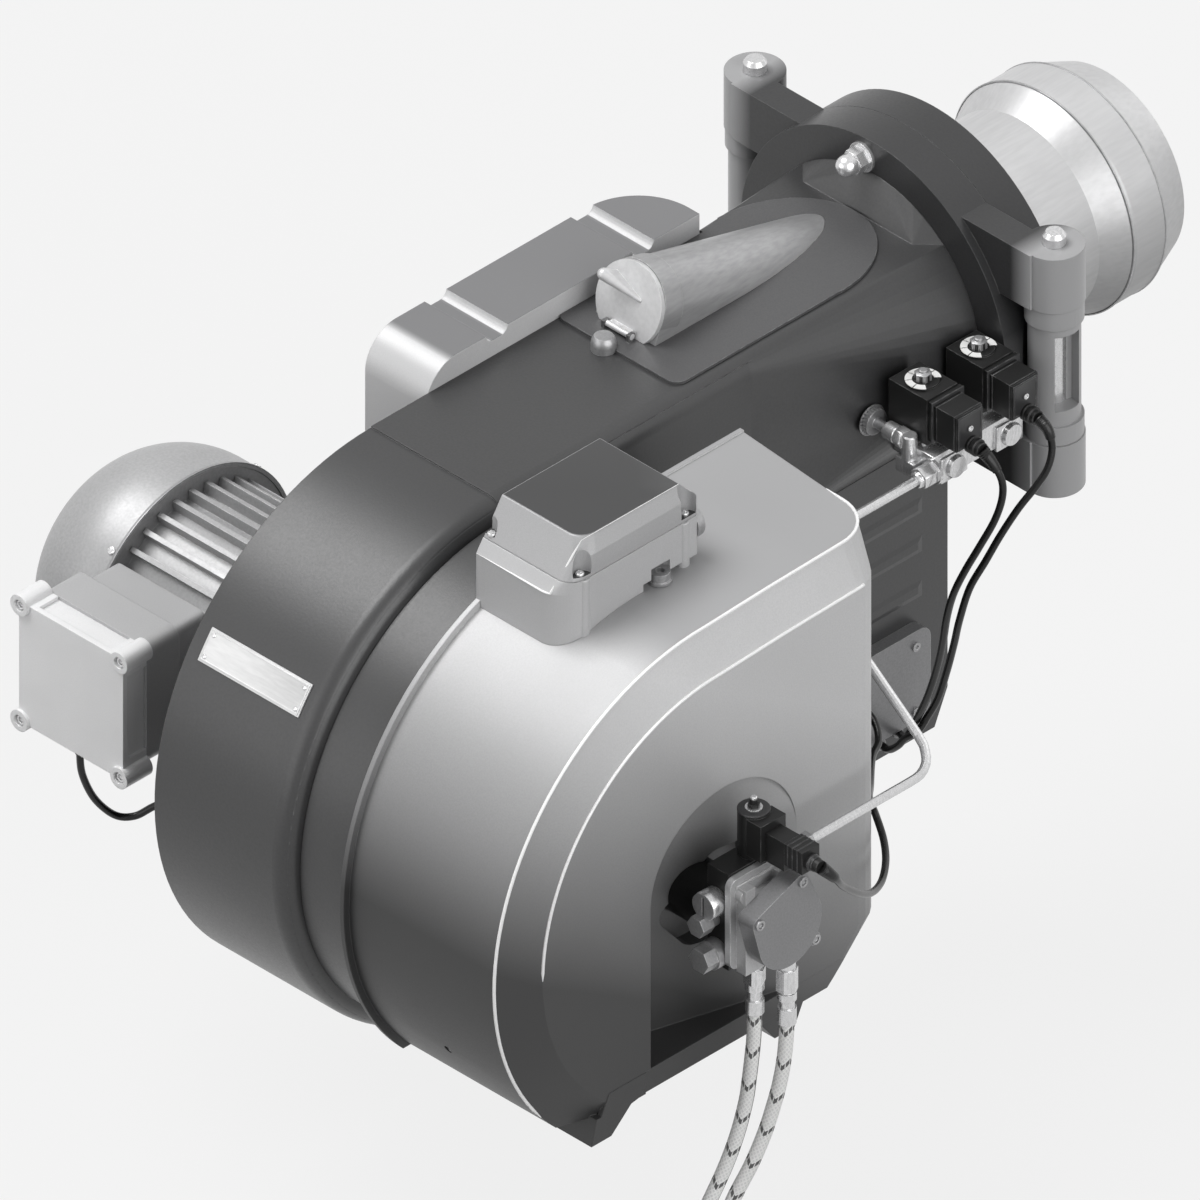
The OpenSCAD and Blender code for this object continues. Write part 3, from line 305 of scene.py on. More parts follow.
def lathe(
    axis: Axis,
    profile: Sequence[Pair],
    at: Pair,
    steps: int = 48,
    arc: float = 360.0,
) -> bpy.types.Object:
    """Turns a profile round an axis, as on a lathe.

    Args:
        axis: The axis of the turned piece.
        profile: Points (radius, place along the axis), mm.
        at: The axis' other two coordinates, mm.
        steps: Steps round the axis.
        arc: How far the profile is turned, degrees.

    Returns:
        The turned piece, settled.
    """
    put_down()
    first = Vector((profile[0][0], 0, profile[0][1])) * MM
    bpy.ops.mesh.primitive_plane_add(size=MM, location=first)
    obj = settle(bpy.context.object)
    bpy.ops.object.mode_set(mode="EDIT")
    bpy.ops.mesh.select_mode(type="VERT")
    bpy.ops.mesh.select_all(action="SELECT")
    bpy.ops.mesh.merge(type="CENTER")
    for (r0, h0), (r1, h1) in zip(profile, profile[1:]):
        step = Vector((r1 - r0, 0, h1 - h0)) * MM
        bpy.ops.mesh.extrude_region_move(TRANSFORM_OT_translate={"value": step})
    bpy.ops.mesh.select_all(action="SELECT")
    bpy.ops.mesh.spin(
        steps=steps, angle=math.radians(arc), center=(0, 0, 0), axis=(0, 0, 1)
    )
    bpy.ops.mesh.select_all(action="SELECT")
    bpy.ops.mesh.remove_doubles(threshold=0.01 * MM)
    bpy.ops.mesh.normals_make_consistent(inside=False)
    put_down()
    return place(obj, Matrix.Translation(axis.point(0, *at)) @ axis.turn())


def join(parts: Sequence[bpy.types.Object]) -> bpy.types.Object:
    """Joins several parts into one piece.

    Args:
        parts: The parts, the first of which is kept.

    Returns:
        The joined piece.
    """
    take(parts[0])
    for part in parts[1:]:
        part.select_set(True)
    if len(parts) > 1:
        bpy.ops.object.join()
    return parts[0]


def smooth_line(points: Sequence[Vector], steps: int = 6) -> list[Vector]:
    """Runs one smooth curve through the points of a route.

    Args:
        points: The route.
        steps: Steps between two points.

    Returns:
        The points of the curve, with the route's own among them.
    """
    line = [points[0] * 2 - points[1], *points, points[-1] * 2 - points[-2]]
    out: list[Vector] = []
    for p0, p1, p2, p3 in zip(line, line[1:], line[2:], line[3:]):
        for i in range(steps):
            t = i / steps
            out.append(
                0.5
                * (
                    2 * p1
                    + (p2 - p0) * t
                    + (2 * p0 - 5 * p1 + 4 * p2 - p3) * t**2
                    + (3 * p1 - p0 - 3 * p2 + p3) * t**3
                )
            )
    return [*out, points[-1]]


def sheath(
    name: str, points: Sequence[Vector], radii: Sequence[float], sides: int
) -> bpy.types.Object:
    """Sweeps a round sheath along a route, with a map of its surface.

    The map runs once round the sheath in u and in metres along it in v.

    Args:
        name: Name of the piece.
        points: The centreline, metres.
        radii: A radius for each point, metres.
        sides: Sides round the sheath.

    Returns:
        The closed sheath.
    """
    verts: list[Vector] = []
    across = Vector((0, 0, 1)).cross(points[1] - points[0])
    if across.length < 1e-6:
        across = Vector((1, 0, 0))
    for i, point in enumerate(points):
        ahead = (points[min(i + 1, len(points) - 1)] - points[max(i - 1, 0)]).normalized()
        across = (across - ahead * across.dot(ahead)).normalized()
        up = ahead.cross(across)
        for k in range(sides):
            a = 2 * math.pi * k / sides
            verts.append(point + (across * math.cos(a) + up * math.sin(a)) * radii[i])
    faces: list[tuple[int, ...]] = []
    for i in range(len(points) - 1):
        for k in range(sides):
            n = (k + 1) % sides
            faces.append((i * sides + k, i * sides + n, (i + 1) * sides + n, (i + 1) * sides + k))
    last = (len(points) - 1) * sides
    faces.append(tuple(reversed(range(sides))))
    faces.append(tuple(range(last, last + sides)))
    mesh = bpy.data.meshes.new(name)
    mesh.from_pydata([tuple(v) for v in verts], [], faces)
    along = [0.0]
    for a, b in zip(points, points[1:]):
        along.append(along[-1] + (b - a).length)
    layer = mesh.uv_layers.new(name="sheath")
    for number, face in enumerate(mesh.polygons):
        k = number % sides
        for corner, loop in enumerate(face.loop_indices):
            vertex = mesh.loops[loop].vertex_index
            u = (k + (corner in (1, 2))) / sides if len(face.vertices) == 4 else 0.0
            layer.data[loop].uv = (u, along[vertex // sides])
    return enter(name, mesh)


def bead(name: str, points: Sequence[Vector], radius: float, sides: int = 10) -> bpy.types.Object:
    """Lays a thin round bead along a line.

    Args:
        name: Name of the piece.
        points: The line, metres.
        radius: Radius of the bead, mm.
        sides: Sides round it.

    Returns:
        The bead, which tapers to nothing at its two ends.
    """
    last = len(points) - 1
    radii = [radius * MM * (0.25 if i in (0, last) else 1.0) for i in range(last + 1)]
    return sheath(name, points, radii, sides)


# Finishes


class Board:
    """A material's board of nodes, with short ways to add and wire them."""

    def __init__(self, name: str) -> None:
        """Starts an empty material.

        Args:
            name: The material's name.
        """
        self.material = bpy.data.materials.new(name)
        self.material.use_nodes = True
        self.tree = self.material.node_tree
        self.tree.nodes.clear()
        self.surface = self.add("ShaderNodeBsdfPrincipled")
        out = self.add("ShaderNodeOutputMaterial")
        self.wire(self.surface.outputs["BSDF"], out.inputs["Surface"])

    def add(self, kind: str, **settings: object) -> bpy.types.Node:
        """Adds a node and sets its properties."""
        node = self.tree.nodes.new(kind)
        for key, value in settings.items():
            setattr(node, key, value)
        return node

    def wire(self, source: bpy.types.NodeSocket, target: bpy.types.NodeSocket) -> None:
        """Joins an output to an input."""
        self.tree.links.new(source, target)

    def feed(self, node: bpy.types.Node, key: int | str, value: object) -> None:
        """Wires a socket to an input, or sets the input's own value."""
        if isinstance(value, bpy.types.NodeSocket):
            self.wire(value, node.inputs[key])
        else:
            node.inputs[key].default_value = value

    def split(self, vector: bpy.types.NodeSocket) -> list[bpy.types.NodeSocket]:
        """Splits a vector into its X, Y and Z."""
        node = self.add("ShaderNodeSeparateXYZ")
        self.wire(vector, node.inputs[0])
        return list(node.outputs)

    def sum(self, operation: str, a: object, b: object = 0.0, c: object = 0.0) -> bpy.types.NodeSocket:
        """Adds a Math node.

        Args:
            operation: The operation's name.
            a: First value or socket.
            b: Second value or socket.
            c: Third value or socket.

        Returns:
            The result.
        """
        node = self.add("ShaderNodeMath", operation=operation)
        for key, value in enumerate((a, b, c)):
            self.feed(node, key, value)
        return node.outputs[0]

    def blend(self, share: object, a: object, b: object) -> bpy.types.NodeSocket:
        """Mixes two colours by a share."""
        node = self.add("ShaderNodeMix", data_type="RGBA")
        self.feed(node, 0, share)
        self.feed(node, 6, (*a, 1.0) if isinstance(a, tuple) else a)
        self.feed(node, 7, (*b, 1.0) if isinstance(b, tuple) else b)
        return node.outputs[2]

    def ramp(self, value: object, low: float, high: float) -> bpy.types.NodeSocket:
        """Spreads a value between low and high over nought to one."""
        node = self.add("ShaderNodeMapRange")
        self.feed(node, "Value", value)
        self.feed(node, "From Min", low)
        self.feed(node, "From Max", high)
        return node.outputs["Result"]

    def grain(
        self, scale: float, stretch: Triple = (1.0, 1.0, 1.0), detail: float = 3.0
    ) -> bpy.types.NodeSocket:
        """Adds noise on the object's own coordinates.

        Args:
            scale: How many grains to the metre.
            stretch: Scale along each axis.
            detail: Depth of detail.

        Returns:
            The noise, about nought to one.
        """
        where = self.add("ShaderNodeTexCoord")
        mapping = self.add("ShaderNodeMapping")
        mapping.inputs["Scale"].default_value = stretch
        self.wire(where.outputs["Object"], mapping.inputs["Vector"])
        noise = self.add("ShaderNodeTexNoise")
        noise.inputs["Scale"].default_value = scale
        noise.inputs["Detail"].default_value = detail
        self.wire(mapping.outputs["Vector"], noise.inputs["Vector"])
        return noise.outputs["Fac"]

    def normal(self, height: object, strength: float, distance: float, edge: float) -> None:
        """Gives the surface its bumps and its softened edges.

        Args:
            height: Height of the bumps.
            strength: Strength of the bumps.
            distance: Depth of the bumps, metres.
            edge: Radius of the softened edges, metres, or nought.
        """
        bump = self.add("ShaderNodeBump")
        bump.inputs["Strength"].default_value = strength
        bump.inputs["Distance"].default_value = distance
        self.feed(bump, "Height", height)
        if edge:
            rounding = self.add("ShaderNodeBevel", samples=4)
            rounding.inputs["Radius"].default_value = edge
            self.wire(rounding.outputs["Normal"], bump.inputs["Normal"])
        self.wire(bump.outputs["Normal"], self.surface.inputs["Normal"])

    def edges(self, radius: float) -> bpy.types.NodeSocket:
        """Finds the edges of a piece, where a finish wears.

        Args:
            radius: Width of the worn edge, metres.

        Returns:
            One on a sharp edge and nought on a plain face.
        """
        rounding = self.add("ShaderNodeBevel", samples=4)
        rounding.inputs["Radius"].default_value = radius
        plain = self.add("ShaderNodeNewGeometry")
        turn = self.add("ShaderNodeVectorMath", operation="DOT_PRODUCT")
        self.wire(rounding.outputs["Normal"], turn.inputs[0])
        self.wire(plain.outputs["Normal"], turn.inputs[1])
        return self.ramp(turn.outputs["Value"], *EDGE_SPAN)


# Grains to the metre of stains and of rubbed edges
STAIN_GRAINS = 7.0
RUB_GRAINS = 90.0
# Spans of the noise over which grain, stains and rubbing come in
GRAIN_SPAN: Pair = (0.35, 0.68)
STAIN_SPAN: Pair = (0.42, 0.75)
RUB_SPAN: Pair = (0.4, 0.62)
# Width of a worn edge, mm, and how far the bare colour shows on it
WORN_WIDTH = 1.1
WORN_SHARE = 0.75
# Turn of a face's normal from plain face to worn edge, as a cosine
EDGE_SPAN: Pair = (0.985, 0.86)
# How far fine and broad grain move the roughness
FINE_ROUGHNESS = 0.16
BROAD_ROUGHNESS = 0.12


def grey(level: float) -> Colour:
    """Gives a grey with a trace of blue, as of metal or enamel."""
    return (level, level, round(level + 0.005, 3))


@dataclass(frozen=True)
class Finish:
    """A finish of metal, paint or plastic.

    Attributes:
        name: The finish's name.
        colour: Its main colour.
        tone: The colour of its finest grain.
        metallic: How metallic it is.
        roughness: Its mean roughness.
        grain: Grains to the metre.
        stretch: Stretch of the grain along each axis.
        bump: Strength of its bumps.
        depth: Depth of its bumps, mm.
        edge: Radius of its softened edges, mm.
        worn: Colour of worn edges, or None.
        stain: Share by which broad stains darken it.
        specular: Level of its plain gloss.
        coat: Weight of a clear coat.
        painted_shade: Painted shade, darker towards the foot: height below which it darkens, height of its
            darkest, mm, and share left there.
        shade_lean: How much the painted shade leans away from the boiler.
        top_shade: Painted shade: colour of the faces that look up, or None.
        bare: Distance from the flame's axis beyond which it is bare metal, mm, and its colour.
    """

    name: str
    colour: Colour
    tone: Colour
    metallic: float
    roughness: float
    grain: float = 500.0
    stretch: Triple = (1.0, 1.0, 1.0)
    bump: float = 0.15
    depth: float = 0.3
    edge: float = 0.8
    worn: Colour | None = None
    stain: float = 0.12
    specular: float = 0.5
    coat: float = 0.0
    painted_shade: Triple | None = None
    shade_lean: float = 0.0
    top_shade: Colour | None = None
    bare: tuple[float, Colour] | None = None

    def make(self) -> bpy.types.Material:
        """Makes the material, once for each finish.

        Returns:
            The material.
        """
        title = f"{self.name}_finish"
        known = bpy.data.materials.get(title)
        if known is not None:
            return known
        board = Board(title)
        fine = board.grain(self.grain, self.stretch)
        broad = board.grain(STAIN_GRAINS, detail=5.0)
        colour = board.blend(board.ramp(fine, *GRAIN_SPAN), self.colour, self.tone)
        dark = tuple(c * (1 - self.stain * 2) for c in self.colour)
        colour = board.blend(board.sum("MULTIPLY", board.ramp(broad, *STAIN_SPAN), 0.5), colour, dark)
        if self.worn is not None:
            rubbed = board.ramp(board.grain(RUB_GRAINS, detail=4.0), *RUB_SPAN)
            share = board.sum("MULTIPLY", board.edges(WORN_WIDTH * MM), rubbed)
            colour = board.blend(board.sum("MULTIPLY", share, WORN_SHARE), colour, self.worn)
        # Painted shade on the faces that look up.
        if self.top_shade is not None:
            colour = self.shade_top(board, colour)
        if self.bare is not None:
            colour = self.bared(board, colour)
        # Painted shade, darker towards the foot.
        if self.painted_shade is not None:
            colour = self.paint_shade_below(board, colour)
        board.wire(colour, board.surface.inputs["Base Color"])
        board.surface.inputs["Metallic"].default_value = self.metallic
        board.surface.inputs["Specular IOR Level"].default_value = self.specular
        board.surface.inputs["Coat Weight"].default_value = self.coat
        rough = board.sum("MULTIPLY_ADD", fine, FINE_ROUGHNESS, self.roughness - FINE_ROUGHNESS / 2)
        centred = board.sum("SUBTRACT", rough, BROAD_ROUGHNESS / 2)
        rough = board.sum("MULTIPLY_ADD", broad, BROAD_ROUGHNESS, centred)
        board.wire(rough, board.surface.inputs["Roughness"])
        board.normal(fine, self.bump, self.depth * MM, self.edge * MM)
        return board.material

    def shade_top(self, board: Board, colour: bpy.types.NodeSocket) -> bpy.types.NodeSocket:
        """Paints shade on the faces that look up, which take a colour of their own.

        Args:
            board: The material's board.
            colour: The colour of the other faces.

        Returns:
            The colour of all faces.
        """
        # Painted shade: faces whose normal points up take the top colour.
        up = board.split(board.add("ShaderNodeTexCoord").outputs["Normal"])[2]
        return board.blend(board.ramp(up, 0.95, 0.995), colour, self.top_shade)

    def bared(self, board: Board, colour: bpy.types.NodeSocket) -> bpy.types.NodeSocket:
        """Bares the metal of the hinge's lugs, which are pale in the picture.

        Args:
            board: The material's board.
            colour: The colour of the paint.

        Returns:
            The colour with the bare metal.
        """
        distance, metal = self.bare
        soft = 12.0
        x = board.split(board.add("ShaderNodeTexCoord").outputs["Object"])[0]
        share = board.ramp(board.sum("ABSOLUTE", x), (distance - soft) * MM, (distance + soft) * MM)
        return board.blend(share, colour, metal)

    def paint_shade_below(self, board: Board, colour: bpy.types.NodeSocket) -> bpy.types.NodeSocket:
        """Paints shade into the finish, darker towards its foot.

        Args:
            board: The material's board.
            colour: The colour at the top.

        Returns:
            The colour with its painted shade.
        """
        # Painted shade: the colour darkens below a height that leans away from the boiler.
        high, low, share = self.painted_shade
        _, y, z = board.split(board.add("ShaderNodeTexCoord").outputs["Object"])
        level = board.sum("MULTIPLY_ADD", board.sum("ADD", y, SHAFT_AHEAD * MM), self.shade_lean, z)
        shaded = tuple(c * share for c in self.colour)
        return board.blend(board.ramp(level, low * MM, high * MM), shaded, colour)


@dataclass(frozen=True)
class BraidFinish:
    """The white braid of the oil hoses, with dark tracer marks and a painted shade line along one side.

    Attributes:
        name: The finish's name.
        strands: Strands round the hose.
        pitch: Length of one strand's crossing, metres.
        mark_pitch: Distance from one row of marks to the next, metres.
        mark: Share of that distance that a mark takes.
        slant: Slant of the marks, as a share of it.
        line: Place round the hose of the painted shade line that runs along it, in turns.
        shade_line_half: Half the painted shade line's width, in turns.
        pale: The braid's colour on top of a strand.
        shade: Its colour between the strands.
        dark: Colour of the marks and of the painted shade line.
    """

    name: str = "hose_braid"
    strands: float = 10.0
    pitch: float = 0.0052
    mark_pitch: float = 0.036
    mark: float = 0.15
    slant: float = -0.42
    line: float = 0.62
    shade_line_half: float = 0.018
    pale: Colour = (0.96, 0.96, 0.95)
    shade: Colour = (0.66, 0.66, 0.66)
    dark: Colour = (0.03, 0.03, 0.03)

    def make(self) -> bpy.types.Material:
        """Makes the braided material.

        Returns:
            The material.
        """
        title = f"{self.name}_finish"
        known = bpy.data.materials.get(title)
        if known is not None:
            return known
        board = Board(title)
        u, v, _ = board.split(board.add("ShaderNodeUVMap", uv_map="sheath").outputs["UV"])
        turns = board.sum("MULTIPLY", u, self.strands)
        rise = board.sum("DIVIDE", v, self.pitch)
        right = board.sum("PINGPONG", board.sum("ADD", turns, rise), 0.5)
        left = board.sum("PINGPONG", board.sum("SUBTRACT", turns, rise), 0.5)
        weave = board.sum("MAXIMUM", right, left)
        fold = board.sum("PINGPONG", board.sum("MULTIPLY", u, 3.0), 0.5)
        row = board.sum("MULTIPLY_ADD", fold, self.slant, board.sum("DIVIDE", v, self.mark_pitch))
        mark = board.sum("LESS_THAN", board.sum("FRACT", row), self.mark)
        dash = board.sum("GREATER_THAN", board.sum("PINGPONG", turns, 0.5), 0.1)
        mark = board.sum("MULTIPLY", mark, dash)
        # Painted shade: a dark line along one side of the hose, joined with the marks.
        off_shade_line = board.sum("ABSOLUTE", board.sum("SUBTRACT", u, self.line))
        mark = board.sum("MAXIMUM", mark, board.sum("LESS_THAN", off_shade_line, self.shade_line_half))
        colour = board.blend(board.ramp(weave, 0.25, 0.42), self.shade, self.pale)
        colour = board.blend(board.ramp(board.grain(1400.0), 0.35, 0.7), colour, (0.88, 0.88, 0.87))
        colour = board.blend(board.sum("MULTIPLY", mark, 0.92), colour, self.dark)
        board.wire(colour, board.surface.inputs["Base Color"])
        rough = board.sum("MULTIPLY_ADD", weave, -0.3, 0.72)
        board.wire(rough, board.surface.inputs["Roughness"])
        board.normal(weave, 0.7, 0.0006, 0.0)
        return board.material


CAST_PAINT = Finish(
    "cast_paint", (0.04, 0.04, 0.041), (0.033, 0.033, 0.034), 0.0, 0.36, grain=420.0,
    bump=0.22, depth=0.35, edge=1.2, worn=(0.13, 0.13, 0.13), stain=0.08, specular=0.6,
)
HINGE_CAST = Finish(
    "hinge_cast", (0.03, 0.03, 0.031), (0.025, 0.025, 0.026), 0.0, 0.36, grain=420.0,
    bump=0.22, depth=0.35, edge=1.2, worn=(0.12, 0.12, 0.12), stain=0.08, specular=0.5,
    bare=(178.0, grey(0.36)),
)
DARK_PLATE = Finish(
    "dark_plate", (0.085, 0.085, 0.087), (0.07, 0.07, 0.072), 0.0, 0.38, grain=700.0,
    bump=0.1, worn=(0.36, 0.36, 0.36), stain=0.08,
)
# Carries painted shade, darker towards its foot.
TUBE_STEEL = Finish(
    "tube_steel", grey(0.62), grey(0.56), 0.3, 0.36, grain=240.0,
    stretch=(1.0, 0.12, 1.0), bump=0.06, depth=0.15, worn=(0.85, 0.85, 0.85), stain=0.1,
    painted_shade=(60.0, -110.0, 0.22),
)
SIGHT_STEEL = Finish(
    "sight_steel", grey(0.36), grey(0.3), 0.4, 0.36, grain=300.0,
    stretch=(1.0, 0.15, 1.0), bump=0.05, depth=0.15, worn=(0.75, 0.75, 0.75),
)
# Carries painted shade, darker towards its foot and on its faces that look up.
COWL_SILVER = Finish(
    "cowl_silver", grey(0.58), grey(0.53), 0.12, 0.46, grain=650.0,
    bump=0.05, depth=0.15, edge=1.6, worn=(0.9, 0.9, 0.9), stain=0.06, painted_shade=(30.0, -320.0, 0.06), shade_lean=0.6,
    top_shade=grey(0.36),
)
# Carries painted shade, darker towards its foot.
MOTOR_SILVER = Finish(
    "motor_silver", grey(0.5), grey(0.42), 0.3, 0.4, grain=380.0,
    bump=0.12, worn=(0.85, 0.85, 0.85), stain=0.12, painted_shade=(-60.0, -330.0, 0.25),
)
PUMP_ALLOY = Finish(
    "pump_alloy", grey(0.5), grey(0.42), 0.45, 0.4, grain=900.0,
    bump=0.3, depth=0.25, edge=0.9, worn=(0.82, 0.82, 0.82), stain=0.14,
)
COVER_ALLOY = Finish(
    "cover_alloy", grey(0.25), grey(0.21), 0.3, 0.34, grain=500.0,
    bump=0.08, edge=0.7, worn=(0.6, 0.6, 0.6),
)
BOX_GREY = Finish(
    "box_grey", grey(0.5), grey(0.45), 0.15, 0.36, grain=1100.0,
    bump=0.18, depth=0.12, edge=1.1, worn=(0.62, 0.62, 0.62), stain=0.08,
)
# Carries painted shade on its faces that look up.
LID_GREY = Finish(
    "lid_grey", grey(0.4), grey(0.35), 0.1, 0.34, grain=1100.0,
    bump=0.18, depth=0.12, edge=1.1, worn=(0.7, 0.7, 0.7), stain=0.08, top_shade=(0.045, 0.045, 0.046),
)
# Carries painted shade on its faces that look up.
CONTROL_GREY = Finish(
    "control_grey", grey(0.6), grey(0.55), 0.1, 0.38, grain=1000.0,
    bump=0.14, depth=0.12, edge=1.4, worn=(0.78, 0.78, 0.78), stain=0.07, top_shade=grey(0.2),
)
TERMINAL_WHITE = Finish(
    "terminal_pale", grey(0.9), grey(0.84), 0.1, 0.34, grain=900.0,
    bump=0.1, depth=0.12, edge=1.2, worn=(0.9, 0.9, 0.9), stain=0.1,
)
BRIGHT_STEEL = Finish(
    "bright_steel", grey(0.72), grey(0.6), 0.75, 0.24, grain=500.0,
    stretch=(1.0, 1.0, 0.3), bump=0.05, depth=0.1, edge=0.5, worn=(0.95, 0.95, 0.95), stain=0.1,
)
DULL_STEEL = Finish(
    "dull_steel", grey(0.4), grey(0.32), 0.6, 0.36, grain=420.0,
    bump=0.1, depth=0.2, edge=0.6, worn=(0.75, 0.75, 0.75), stain=0.14,
)
PLATE_STEEL = Finish(
    "plate_steel", (0.7, 0.7, 0.7), (0.62, 0.62, 0.62), 0.3, 0.35, grain=380.0,
    stretch=(0.15, 1.0, 1.0), bump=0.05, depth=0.08, edge=0.3, stain=0.06,
)
# Painted highlight: the bright beads along the cowl's creases and the servo lid's edges.
PAINTED_HIGHLIGHT = Finish(
    "painted_highlight", (0.93, 0.93, 0.93), (0.88, 0.88, 0.88), 0.1, 0.3, grain=700.0,
    bump=0.03, edge=0.0, stain=0.03,
)
DULL_BRASS = Finish(
    "dull_brass", (0.4, 0.385, 0.34), (0.32, 0.31, 0.27), 0.7, 0.34, grain=700.0,
    bump=0.08, worn=(0.7, 0.68, 0.6),
)
BLACK_PLASTIC = Finish(
    "black_plastic", (0.012, 0.012, 0.012), (0.018, 0.018, 0.018), 0.0, 0.38, grain=1300.0,
    bump=0.2, depth=0.1, edge=0.9, worn=(0.2, 0.2, 0.2), stain=0.15, specular=0.3,
)
GREY_PLASTIC = Finish(
    "grey_plastic", (0.035, 0.035, 0.036), (0.028, 0.028, 0.029), 0.0, 0.36, grain=1300.0,
    bump=0.2, depth=0.1, edge=0.9, worn=(0.3, 0.3, 0.3), specular=0.35,
)
CABLE_BLACK = Finish(
    "cable_black", (0.006, 0.006, 0.006), (0.01, 0.01, 0.01), 0.0, 0.3, grain=900.0,
    bump=0.1, depth=0.1, edge=0.0, stain=0.1, specular=0.35,
)
DIAL_WHITE = Finish(
    "dial_pale", (0.85, 0.85, 0.84), (0.78, 0.78, 0.77), 0.0, 0.4, grain=800.0,
    bump=0.05, edge=0.2, stain=0.05,
)
GLAZE = Finish(
    "glazed_ceramic", (0.85, 0.84, 0.8), (0.8, 0.79, 0.75), 0.0, 0.18, grain=300.0,
    bump=0.04, edge=0.4, stain=0.06, coat=0.5,
)
BRAID = BraidFinish()

NODE_FINISHES: dict[str, Finish] = {
    "boiler_flange": HINGE_CAST,
    "flame_tube": TUBE_STEEL,
    "baffle_disc": DULL_STEEL,
    "nozzle_assembly": DULL_BRASS,
    "ignition_electrodes": GLAZE,
    "hinge_pin_right": BRIGHT_STEEL,
    "hinge_pin_left": BRIGHT_STEEL,
    "hinge_ring": HINGE_CAST,
    "fan_housing": CAST_PAINT,
    "side_console": CAST_PAINT,
    "console_cover": COVER_ALLOY,
    "intake_ring": CAST_PAINT,
    "intake_cowl": COWL_SILVER,
    "cover_screws": DULL_STEEL,
    "servo_box": BOX_GREY,
    "servo_shaft": DULL_STEEL,
    "sight_plate": DARK_PLATE,
    "sight_tube": SIGHT_STEEL,
    "sight_flap": TUBE_STEEL,
    "flange_nuts": BRIGHT_STEEL,
    "control_housing": CONTROL_GREY,
    "motor_body": MOTOR_SILVER,
    "motor_cowl": MOTOR_SILVER,
    "terminal_box": BOX_GREY,
    "terminal_lid": TERMINAL_WHITE,
    "name_plate": PLATE_STEEL,
    "pump_mount": BLACK_PLASTIC,
    "pump_body": PUMP_ALLOY,
    "pump_cover": COVER_ALLOY,
    "pump_fittings": DULL_STEEL,
    "pump_coil": BLACK_PLASTIC,
    "pump_plug": BLACK_PLASTIC,
    "oil_pipe": BRIGHT_STEEL,
    "valve_bracket": DULL_STEEL,
    "valve_coils": BLACK_PLASTIC,
    "valve_plugs": BLACK_PLASTIC,
    "hose_fittings": BRIGHT_STEEL,
    "hose_ends": BRIGHT_STEEL,
    "hose_tie": BLACK_PLASTIC,
    "motor_shaft": DULL_STEEL,
    "fan_wheel": MOTOR_SILVER,
    "cooling_fan": BLACK_PLASTIC,
    "air_damper": DULL_STEEL,
}


def dress_nodes() -> None:
    """Gives every carried CAD node its finish."""
    for node, finish in NODE_FINISHES.items():
        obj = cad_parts[node]
        obj.data.materials.clear()
        obj.data.materials.append(finish.make())
        LOG.info("dressed %s with %s", node, finish.name)


def hand_over(
    parts: Sequence[bpy.types.Object],
    name: str,
    body: Body,
    finish: Finish | BraidFinish,
    angle: float = 35.0,
) -> bpy.types.Object:
    """Joins, names, dresses and hangs a finished piece.

    Args:
        parts: The parts of the piece.
        name: The piece's name.
        body: The body that it rides on.
        finish: Its finish.
        angle: Edges flatter than this are shaded smooth, degrees.

    Returns:
        The piece.
    """
    obj = join(parts)
    obj.name = name
    obj.data.name = name
    obj.data.materials.clear()
    obj.data.materials.append(finish.make())
    take(obj)
    bpy.ops.object.shade_smooth_by_angle(angle=math.radians(angle))
    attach(obj, body.value)
    LOG.info("piece %s: %d faces on %s", name, len(obj.data.polygons), body.value)
    put_down()
    return obj


# Small ware


@dataclass(frozen=True)
class Screw:
    """A machine screw, modelled at the origin with its head up +Z.

    Attributes:
        radius: Radius of the head, mm.
        height: Height of the head, mm.
        socket: Radius of the socket, or half the length of the slot, mm.
        slotted: Whether it has a slot and not a hexagon socket.
    """

    radius: float
    height: float
    socket: float
    slotted: bool = False

    def make(self) -> bpy.types.Object:
        """Models the screw.

        Returns:
            The screw's head at the origin.
        """
        r, h = self.radius, self.height
        if self.slotted:
            head = lathe(Axis.Z, [(0, 0), (r, 0), (r, h * 0.6), (r * 0.8, h * 0.92), (0, h)], (0, 0), 24)
            pick(head, lambda c, n: n.z > 0.5 and abs(c.y) < r * 0.3 * MM)
            bpy.ops.mesh.inset(thickness=0.1 * MM, depth=-0.7 * MM)
            put_down()
            return head
        head = rod(Axis.Z, r, (0, h), (0, 0), 24)
        pick(head, lambda c, n: n.z > 0.9)
        bpy.ops.mesh.inset(thickness=(r - self.socket) * MM)
        bpy.ops.mesh.inset(thickness=0.05 * MM, depth=-h * 0.65 * MM)
        put_down()
        return soften(head, r * 0.12)

    def fit(self, axis: Axis, places: Sequence[Triple], flip: bool = False) -> list[bpy.types.Object]:
        """Fits screws with their heads along an axis.

        Args:
            axis: The axis that the heads point along.
            places: Where the heads are seated, mm.
            flip: Whether the heads point backwards along it.

        Returns:
            The fitted screws.
        """
        turn = axis.turn()
        if flip:
            turn = Matrix.Rotation(math.pi, 4, "X" if axis is not Axis.X else "Y") @ turn
        return repeat(self.make(), [shift(*spot) @ turn for spot in places])


# Camera and light


